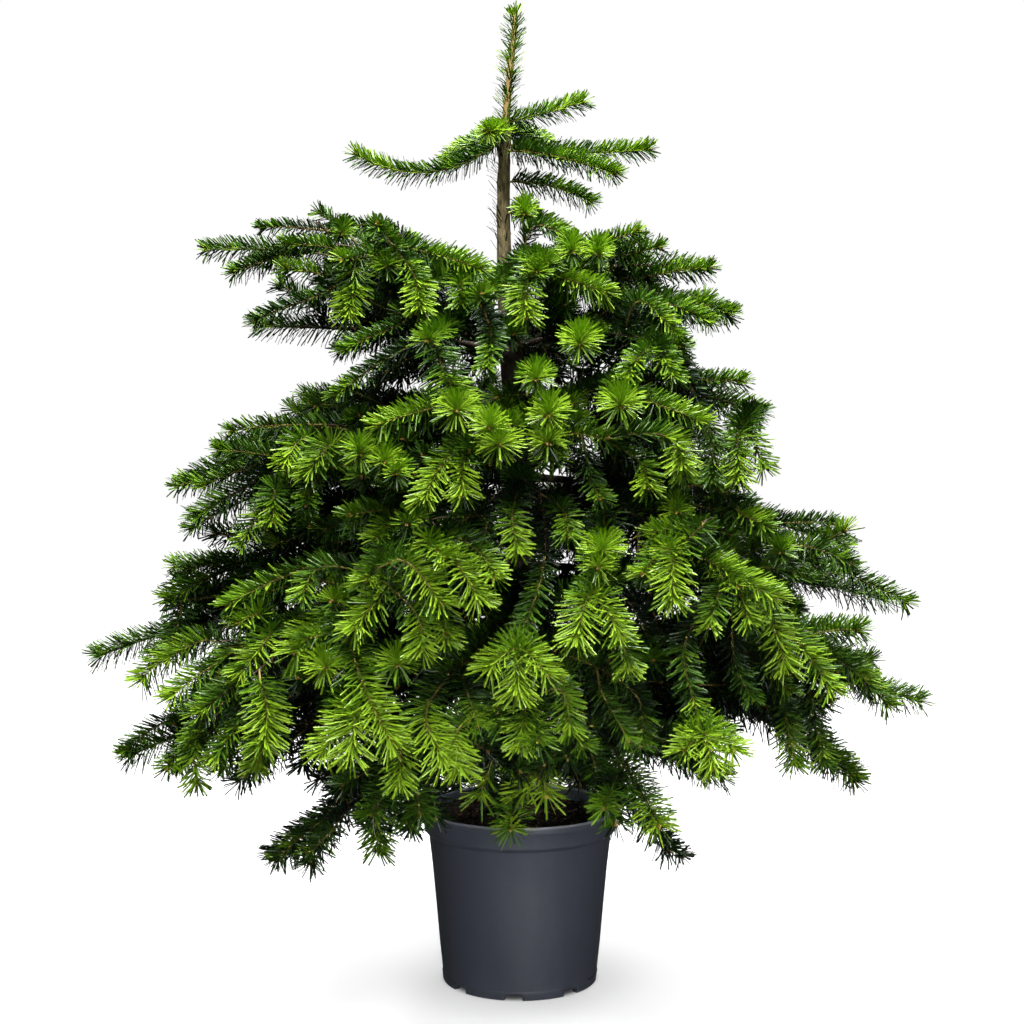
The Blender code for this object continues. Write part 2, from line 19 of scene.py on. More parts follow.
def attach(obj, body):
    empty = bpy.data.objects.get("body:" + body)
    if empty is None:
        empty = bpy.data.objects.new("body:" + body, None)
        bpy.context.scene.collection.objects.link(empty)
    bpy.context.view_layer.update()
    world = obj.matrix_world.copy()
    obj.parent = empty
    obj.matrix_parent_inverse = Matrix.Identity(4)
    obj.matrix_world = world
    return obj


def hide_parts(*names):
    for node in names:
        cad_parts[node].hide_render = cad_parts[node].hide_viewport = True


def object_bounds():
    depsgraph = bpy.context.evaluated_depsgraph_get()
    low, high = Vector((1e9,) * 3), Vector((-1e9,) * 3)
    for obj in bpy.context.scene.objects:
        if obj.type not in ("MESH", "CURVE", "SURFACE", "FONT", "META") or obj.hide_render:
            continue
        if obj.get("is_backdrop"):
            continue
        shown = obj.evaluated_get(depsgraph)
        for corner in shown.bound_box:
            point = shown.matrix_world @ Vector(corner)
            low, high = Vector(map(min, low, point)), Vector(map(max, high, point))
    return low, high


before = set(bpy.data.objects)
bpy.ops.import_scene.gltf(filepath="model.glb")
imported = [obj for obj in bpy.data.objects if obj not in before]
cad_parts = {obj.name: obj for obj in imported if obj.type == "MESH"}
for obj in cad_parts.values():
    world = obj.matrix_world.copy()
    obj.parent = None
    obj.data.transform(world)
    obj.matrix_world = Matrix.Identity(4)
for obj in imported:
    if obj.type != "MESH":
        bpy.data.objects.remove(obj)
CAD_BOX = [list(corner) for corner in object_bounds()]
MASS_NODES = sorted(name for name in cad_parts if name.endswith("_needles"))
BOUGH_NODES = sorted(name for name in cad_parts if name.endswith("_bough"))
UP = Vector((0, 0, 1))
print("CAD box", [[round(x, 3) for x in corner] for corner in CAD_BOX])
print(len(MASS_NODES), "masses of foliage and", len(BOUGH_NODES), "bare boughs in the CAD model")

# %% [markdown]
# ## A small language for node trees
# Materials and Geometry Nodes are both networks of nodes. Adding each Math node by hand hides the
# sum that it stands for, so one class wraps a socket and lets ordinary arithmetic add the nodes.
# Every other kind of node comes from a single method.

# %% Wires and graphs


class Wire:
    """An output socket that can be used in arithmetic; each sign adds a Math node."""

    def __init__(self, graph, socket):
        self.graph = graph
        self.socket = socket

    def of(self, output):
        """Another output of the same node."""
        return Wire(self.graph, self.socket.node.outputs[output])

    def maths(self, operation, first, second=0.0):
        return self.graph.node("ShaderNodeMath", {"operation": operation}, {0: first, 1: second})

    def __add__(self, other):
        return self.maths("ADD", self, other)

    def __sub__(self, other):
        return self.maths("SUBTRACT", self, other)

    def __rsub__(self, other):
        return self.maths("SUBTRACT", other, self)

    def __mul__(self, other):
        return self.maths("MULTIPLY", self, other)

    def __truediv__(self, other):
        return self.maths("DIVIDE", self, other)

    def __pow__(self, other):
        return self.maths("POWER", self, other)

    __radd__ = __add__
    __rmul__ = __mul__

    def over(self, threshold):
        return self.maths("GREATER_THAN", self, threshold)

    def absolute(self):
        return self.maths("ABSOLUTE", self)


class Graph:
    """A node tree that is filled by calls and by arithmetic on wires."""

    def __init__(self, tree):
        self.tree = tree

    def node(self, kind, settings=None, sockets=None, output=0):
        """A node of a kind: its settings are set first, then its sockets get values or wires."""
        made = self.tree.nodes.new(kind)
        for name, value in (settings or {}).items():
            if name == "stops":
                self.set_stops(made.color_ramp, value)
            else:
                setattr(made, name, value)
        for name, value in (sockets or {}).items():
            self.feed(made.inputs[name], value)
        return Wire(self, made.outputs[output]) if made.outputs else made

    def feed(self, socket, value):
        if isinstance(value, Wire):
            self.tree.links.new(value.socket, socket)
        else:
            socket.default_value = value

    def set_stops(self, ramp, stops):
        while len(ramp.elements) < len(stops):
            ramp.elements.new(1.0)
        for element, (place, colour) in zip(ramp.elements, stops):
            element.position = place
            element.color = (*colour, 1.0)


def new_material(name):
    """A material with one Principled shader, its graph, and that shader."""
    made = bpy.data.materials.new(name)
    made.use_nodes = True
    made.use_backface_culling = False
    return made, Graph(made.node_tree), made.node_tree.nodes["Principled BSDF"]


print("wires know", ", ".join(n for n in vars(Wire) if not n.startswith("__")))

# %% [markdown]
# ## The tree's plan
# A fir adds one whorl of boughs a year round the foot of its leader, and each bough then forks into
# side shoots by the same habit. So a whole crown can be told by a short table: for each bough its
# bearing, where it leaves the trunk, how far it reaches, and the height of its tip. These are the
# same named sizes that the CAD solids are made from.

# %% Trunk stations and bough table
TrunkStation = namedtuple("TrunkStation", "height x y radius")
COMPOST_TOP = 0.2100
TRUNK = (
    TrunkStation(COMPOST_TOP - 0.004, -0.004, 0.002, 0.0260),
    TrunkStation(0.233, -0.003, 0.002, 0.0198),
    TrunkStation(0.448, 0.001, 0.004, 0.0180),
    TrunkStation(0.642, 0.000, 0.003, 0.0158),
    TrunkStation(0.792, -0.013, 0.000, 0.0124),
    TrunkStation(0.928, -0.020, -0.001, 0.0084),
    TrunkStation(1.058, -0.019, 0.000, 0.0068),
    TrunkStation(1.076, -0.017, 0.000, 0.0036),
    TrunkStation(1.204, -0.006, 0.001, 0.0016),
)
Bough = namedtuple("Bough", "bearing foot reach tip arch")
WHORLS = (
    (  # the top whorl, round the foot of the leader
        Bough(180, 1.050, 0.192, 1.037, -0.034),
        Bough(255, 1.056, 0.088, 1.046, 0.004),
        Bough(12, 1.070, 0.108, 1.102, -0.002),
        Bough(352, 1.044, 0.188, 1.036, -0.008),
        Bough(319, 1.036, 0.182, 0.992, 0.006),
        Bough(118, 1.052, 0.170, 1.038, 0.008),
        Bough(66, 1.060, 0.140, 1.058, 0.003),
        Bough(338, 0.997, 0.123, 0.964, 0.010),
        Bough(322, 0.960, 0.100, 0.926, 0.006),
    ),
    (
        Bough(180, 0.866, 0.380, 0.915, 0.016),
        Bough(138, 0.870, 0.320, 0.880, 0.010),
        Bough(226, 0.876, 0.275, 0.888, 0.016),
        Bough(282, 0.880, 0.245, 0.880, 0.015),
        Bough(338, 0.868, 0.262, 0.882, 0.015),
        Bough(48, 0.874, 0.280, 0.864, 0.010),
    ),
    (
        Bough(192, 0.788, 0.318, 0.818, 0.010),
        Bough(252, 0.814, 0.300, 0.793, 0.018),
        Bough(310, 0.792, 0.305, 0.788, 0.018),
        Bough(2, 0.808, 0.286, 0.834, 0.012),
        Bough(80, 0.786, 0.330, 0.798, 0.015),
        Bough(138, 0.804, 0.300, 0.806, 0.012),
    ),
    (
        Bough(172, 0.708, 0.435, 0.620, 0.028),
        Bough(206, 0.726, 0.415, 0.592, 0.030),
        Bough(276, 0.706, 0.365, 0.668, 0.026),
        Bough(334, 0.728, 0.328, 0.713, 0.026),
        Bough(28, 0.704, 0.350, 0.648, 0.025),
        Bough(112, 0.716, 0.390, 0.668, 0.028),
    ),
    (
        Bough(196, 0.608, 0.446, 0.490, 0.030),
        Bough(246, 0.636, 0.410, 0.538, 0.033),
        Bough(304, 0.612, 0.420, 0.528, 0.035),
        Bough(354, 0.634, 0.412, 0.546, 0.018),
        Bough(62, 0.606, 0.430, 0.528, 0.030),
        Bough(146, 0.628, 0.430, 0.538, 0.030),
    ),
    (
        Bough(182, 0.498, 0.536, 0.408, 0.030),
        Bough(222, 0.524, 0.480, 0.388, 0.040),
        Bough(272, 0.502, 0.440, 0.378, 0.040),
        Bough(326, 0.522, 0.470, 0.418, 0.035),
        Bough(18, 0.496, 0.524, 0.458, 0.030),
        Bough(100, 0.518, 0.460, 0.408, 0.035),
    ),
    (
        Bough(199, 0.390, 0.496, 0.310, 0.030),
        Bough(248, 0.418, 0.430, 0.293, 0.035),
        Bough(290, 0.392, 0.430, 0.283, 0.035),
        Bough(328, 0.416, 0.450, 0.303, 0.035),
        Bough(358, 0.392, 0.508, 0.352, 0.030),
        Bough(58, 0.410, 0.460, 0.298, 0.035),
        Bough(138, 0.394, 0.470, 0.283, 0.035),
    ),
    (  # the lowest whorl, just over the pot
        Bough(208, 0.292, 0.335, 0.190, 0.030),
        Bough(268, 0.284, 0.260, 0.244, 0.020),
        Bough(326, 0.300, 0.225, 0.184, 0.030),
        Bough(25, 0.282, 0.310, 0.222, 0.025),
        Bough(108, 0.296, 0.310, 0.208, 0.025),
    ),
)
print(sum(map(len, WHORLS)), "boughs in", len(WHORLS), "whorls")

# %% [markdown]
# ## Lines to grow along
# A limb, a twig and a row of needles all follow a line in space. One small class holds such a line
# and answers two questions: where am I after so many millimetres, and which way does it run there?

# %% Lines
LINE_STEPS = 24


class Line:
    """A smooth line through points, read by the distance along it."""

    def __init__(self, points):
        self.points = points
        self.marks = [0.0]
        for a, b in zip(points, points[1:]):
            self.marks.append(self.marks[-1] + (b - a).length)
        self.length = self.marks[-1]

    def at(self, distance):
        """The point and the direction at a distance."""
        distance = min(max(distance, 0.0), self.length)
        k = max(i for i, mark in enumerate(self.marks[:-1]) if mark <= distance)
        a, b = self.points[k], self.points[k + 1]
        share = (distance - self.marks[k]) / (self.marks[k + 1] - self.marks[k])
        return a.lerp(b, share), (b - a).normalized()

    def part(self, start, end, steps):
        """The stretch between two distances, as a new line."""
        gap = (end - start) / steps
        return Line([self.at(start + gap * k)[0] for k in range(steps + 1)])


def frame_of(direction):
    """Two unit vectors square to a direction: one sideways and level, one on the upper side."""
    direction = direction.normalized()
    across = direction.cross(UP)
    if across.length < 0.2:
        across = direction.cross(Vector((0, 1, 0)))
    side = across.normalized()
    return side, side.cross(direction).normalized()


def unit(vectors):
    return vectors / np.maximum(np.linalg.norm(vectors, axis=1, keepdims=True), 1e-9)


def along(line, distances):
    """Places and directions at many distances along a line, as arrays."""
    points = np.array(line.points)
    steps = unit(np.diff(points, axis=0))
    ways = unit(np.vstack([steps[:1], steps[:-1] + steps[1:], steps[-1:]]))
    marks = np.array(line.marks)
    place = np.stack([np.interp(distances, marks, points[:, k]) for k in range(3)], axis=1)
    way = np.stack([np.interp(distances, marks, ways[:, k]) for k in range(3)], axis=1)
    return place, unit(way)


def trunk_at(height):
    """The trunk's centre and radius at a height, smoothly between its stations."""
    height = min(max(height, TRUNK[0].height), TRUNK[-1].height)
    k = max(i for i, row in enumerate(TRUNK[:-1]) if row.height <= height)
    low, high = TRUNK[k], TRUNK[k + 1]
    t = (height - low.height) / (high.height - low.height)
    before = TRUNK[max(k - 1, 0)]
    after = TRUNK[min(k + 2, len(TRUNK) - 1)]
    centre = []
    for axis in ("x", "y"):
        p0, p1, p2, p3 = (getattr(row, axis) for row in (before, low, high, after))
        curve = 2 * p1 + (p2 - p0) * t + (2 * p0 - 5 * p1 + 4 * p2 - p3) * t**2
        centre.append((curve + (3 * p1 - p0 - 3 * p2 + p3) * t**3) / 2)
    return Vector((*centre, height)), low.radius + (high.radius - low.radius) * t


def bough_line(bough):
    """A bough's centre line, from the trunk's heart to its tip."""
    heart = trunk_at(bough.foot)[0]
    bearing = math.radians(bough.bearing)
    out = Vector((math.cos(bearing), math.sin(bearing), 0))
    points = []
    for k in range(LINE_STEPS + 1):
        t = k / LINE_STEPS
        lift = (bough.tip - bough.foot) * t + 4 * bough.arch * t * (1 - t)
        points.append(heart + out * bough.reach * t + UP * lift)
    return Line(points)


lengths = [bough_line(bough).length for whorl in WHORLS for bough in whorl]
print("boughs from", round(min(lengths), 3), "to", round(max(lengths), 3), "m long")

# %% [markdown]
# ## The growth rule
# On a Nordmann fir each year's shoot ends in a bud with side buds round it, so pairs of side shoots
# stand at even gaps along a bough, one pair fanning a little upward and the next a little down. Side
# shoots fork again by the same rule, only shorter. The first order here is the one that the CAD
# masses have, from the same seeds. The finer orders fill it in, and the reach stays the same, since
# a side shoot is always shorter than what is left of its stem.

# %% Grow the shoots
BUD = 0.0120
FIRST_NODE = 0.030
SIDE_SHARE = 0.66
SPLAY = (40.0, 58.0)
FAN = (8.0, 36.0)
LIFT = (-0.25, 0.20)
PAIR_STAGGER = 0.12
FORWARD_BEND = 0.45
SIDE_STEPS = 4
SHORTEST_STEM = 0.21
BARE_SHARE = 0.34
BARE_STEM = 0.020
BARE_STEM_PER_REACH = 0.100
Order = namedtuple("Order", "gap shortest share lift")
ORDERS = (
    Order(0.080, 0.085, SIDE_SHARE, LIFT),
    Order(0.056, 0.060, 0.68, (-0.95, -0.10)),
    Order(0.058, 0.060, 0.64, (-1.00, -0.20)),
)
POT_ROOM = (0.142, 0.238)  # no shoot goes inside this radius below this height
Shoot = namedtuple("Shoot", "line order mass fresh run", defaults=(-0.35, 1.0))


def side_line(stem, root, roll, length, splay, lift):
    """A side shoot's line: it leaves the stem at its splay, and bends a little towards its way."""
    start, ahead = stem.at(root)
    across, over = frame_of(ahead)
    outward = across * math.cos(roll) + over * math.sin(roll)
    way = ahead * math.cos(splay) + outward * math.sin(splay)
    points = [start]
    for k in range(SIDE_STEPS):
        turn = (k + 0.5) / SIDE_STEPS
        heading = (way + (ahead * FORWARD_BEND + UP * lift) * turn).normalized()
        points.append(points[-1] + heading * length / SIDE_STEPS)
    return Line(points)


def side_shoots(stem, first, seed, order):
    """Pairs of side shoots along a stem by a seeded rule: one pair fans upward, the next one down."""
    dice = random.Random(seed)
    shoots = []
    distance = first
    pair = dice.randint(0, 1)
    while distance < stem.length - order.shortest:
        for side in (-1, 1):
            length = (stem.length - distance) * order.share * dice.uniform(0.86, 1.10)
            splay = math.radians(dice.uniform(*SPLAY))
            fan = dice.uniform(*FAN) * (-1) ** pair
            roll = math.radians(90 + side * (90 - fan))
            root = distance + side * PAIR_STAGGER * order.gap
            lift = dice.uniform(*order.lift)
            shoots.append(side_line(stem, root, roll, max(length, order.shortest), splay, lift))
        distance += order.gap * dice.uniform(0.9, 1.12)
        pair += 1
    return shoots


def over_and_under(stem, first, seed, order):
    """Short single shoots between the pairs, on the upper and the under side of a stem."""
    dice = random.Random(f"{seed} between")
    shoots = []
    distance = first + order.gap / 2
    while distance < stem.length - order.shortest:
        whole = (stem.length - distance) * order.share
        length = min(whole * dice.uniform(0.5, 0.8), 0.16)
        roll = math.radians(90 + dice.uniform(-50, 50) + 180 * (dice.random() < 0.42))
        splay = math.radians(dice.uniform(34, 58))
        length = max(length, order.shortest)
        lift = dice.uniform(*order.lift)
        shoots.append(side_line(stem, distance, roll, length, splay, lift))
        distance += order.gap * dice.uniform(0.9, 1.12)
    return shoots


def in_pot(line):
    """Whether a shoot would run into the pot."""
    return any(math.hypot(p.x, p.y) < POT_ROOM[0] and p.z < POT_ROOM[1] for p in line.points[1:])


def grow_bough(name, bough):
    """A bough's stem, where it is bare, and all the shoots that grow from it."""
    line = bough_line(bough)
    bare = trunk_at(bough.foot)[1] + BARE_STEM + BARE_STEM_PER_REACH * bough.reach
    if name.startswith("whorl1"):
        bare = trunk_at(bough.foot)[1] + 0.002
    has_limb = name.startswith("whorl6") and bough.reach > 0.450
    start = line.length * BARE_SHARE if has_limb else 0.0
    stem = line.part(start, line.length - BUD, LINE_STEPS)
    bare = 0.0 if has_limb else bare
    shoots = []
    if bough.reach > SHORTEST_STEM:
        shoots = side_shoots(stem, bare + FIRST_NODE, name, ORDERS[0])
        shoots += over_and_under(stem, bare + FIRST_NODE, name, ORDERS[0])
    grown = [Shoot(side, 1, name) for side in shoots if not in_pot(side)]
    for k, parent in enumerate(list(grown)):
        finer = side_shoots(parent.line, 0.034, f"{name}/{k}", ORDERS[1])
        children = [Shoot(side, 2, name) for side in finer if not in_pot(side)]
        for j, child in enumerate(list(children)):
            finest = side_shoots(child.line, 0.034, f"{name}/{k}/{j}", ORDERS[2])
            children += [Shoot(side, 3, name) for side in finest if not in_pot(side)]
        grown += children
    whole = line.part(0.0, line.length - BUD, LINE_STEPS)
    needled_from = start + bare if has_limb else bare
    return whole, needled_from, grown


SHOOTS = []
STEMS = []
for number, whorl in enumerate(WHORLS, 1):
    for letter, bough in zip("abcdefghi", whorl):
        stem, needled_from, grown = grow_bough(f"whorl{number}_{letter}", bough)
        STEMS.append((f"whorl{number}_{letter}", bough, stem, needled_from))
        SHOOTS += grown
print(len(STEMS), "boughs and", len(SHOOTS), "shoots by the rule")

# %% [markdown]
# ## Shoots that turn to the light
# The rule gives each bough even side shoots. A real tree, grown with its fair side to the sun, also
# has strong shoots that bend outward and end at its face. These are listed one by one, as the camera
# sees them, so the camera's place and lens come first. A row tells where the shoot comes into the
# open and where its tip is, in pixels across and down the picture, then how fresh it is, and its
# tip's depth: the y of its place in metres. The freshness sets how long its needles are and how light
# they are coloured; that lightness is partly new growth and partly painted light and shade. Each
# shoot starts on the best placed wood behind it and curves through the first place to its tip. It
# carries needles and no side shoots.

# %% The camera's view
PICTURE = 1024  # pixels across and down
LENS = 65.0  # millimetres
SENSOR = 36.0  # millimetres
CAMERA_PLACE = (-0.01, -2.3, 0.75)
CAMERA_AIM = (-0.01, 0.0, 0.590)
FOCAL_PIXELS = round(PICTURE * LENS / SENSOR)
PITCH = math.atan((CAMERA_PLACE[2] - CAMERA_AIM[2]) / (CAMERA_AIM[1] - CAMERA_PLACE[1]))


def place_seen(across, down, depth):
    """The place at a depth that the camera shows at a pixel."""
    right = (across - PICTURE / 2) / FOCAL_PIXELS
    up = (PICTURE / 2 - down) / FOCAL_PIXELS
    ahead = math.cos(PITCH) + up * math.sin(PITCH)
    lift = up * math.cos(PITCH) - math.sin(PITCH)
    reach = (depth - CAMERA_PLACE[1]) / ahead
    return CAMERA_PLACE[0] + reach * right, depth, CAMERA_PLACE[2] + reach * lift


def pixels_of(places):
    """The pixels, across and down, at which the camera shows some places."""
    x, y, z = (np.array(places) - CAMERA_PLACE).T
    ahead = y * math.cos(PITCH) - z * math.sin(PITCH)
    up = y * math.sin(PITCH) + z * math.cos(PITCH)
    across = PICTURE / 2 + FOCAL_PIXELS * x / ahead
    return np.stack([across, PICTURE / 2 - FOCAL_PIXELS * up / ahead], axis=1)


print("a metre across the picture is", FOCAL_PIXELS, "pixels at a metre from the camera")

# %% Front shoots, listed as they are seen
METRE_PIXELS = round(FOCAL_PIXELS / -CAMERA_PLACE[1])  # a metre at the trunk
NEAREST = -0.428  # no tip stands nearer to the camera than this depth
HINDMOST = -0.010  # nor does a front shoot come into the open behind this one
TUFT_RISE = 9  # pixels
TUFT_REACH = 0.050  # how far behind its tip a shoot that points at the camera comes into the open
LEAST_REACH = 0.018
REACH_SHARE = 0.42
FaceShoot = namedtuple("FaceShoot", "out tip fresh")


def whole_millimetres(place, raised):
    """A place held to whole millimetres, and raised by some."""
    x, y, z = (round(value * 1000) for value in place)
    return Vector((x, y, z + raised)) / 1000


def face_shoot(out_pixel, tip_pixel, fresh, depth, reach, raised=(0, 0)):
    """A front shoot from two pixels, its depth and how much deeper it comes into the open."""
    depth = max(depth, NEAREST)
    out_depth = min(depth + reach, HINDMOST) if depth < 0 else depth - reach
    out = whole_millimetres(place_seen(*out_pixel, out_depth), raised[0])
    return FaceShoot(out, whole_millimetres(place_seen(*tip_pixel, depth), raised[1]), fresh)


def side_on(out_across, out_down, tip_across, tip_down, fresh, depth, raised=(0, 0)):
    """A shoot that shows its length. Raised gives the two places' lift in millimetres."""
    length = math.hypot(tip_across - out_across, tip_down - out_down) / METRE_PIXELS
    reach = max(LEAST_REACH, REACH_SHARE * length)
    return face_shoot((out_across, out_down), (tip_across, tip_down), fresh, depth, reach, raised)


def end_on(across, down, fresh, depth):
    """A shoot that points at the camera, so that only its tuft shows."""
    return face_shoot((across, down - TUFT_RISE), (across, down), fresh, depth, TUFT_REACH)


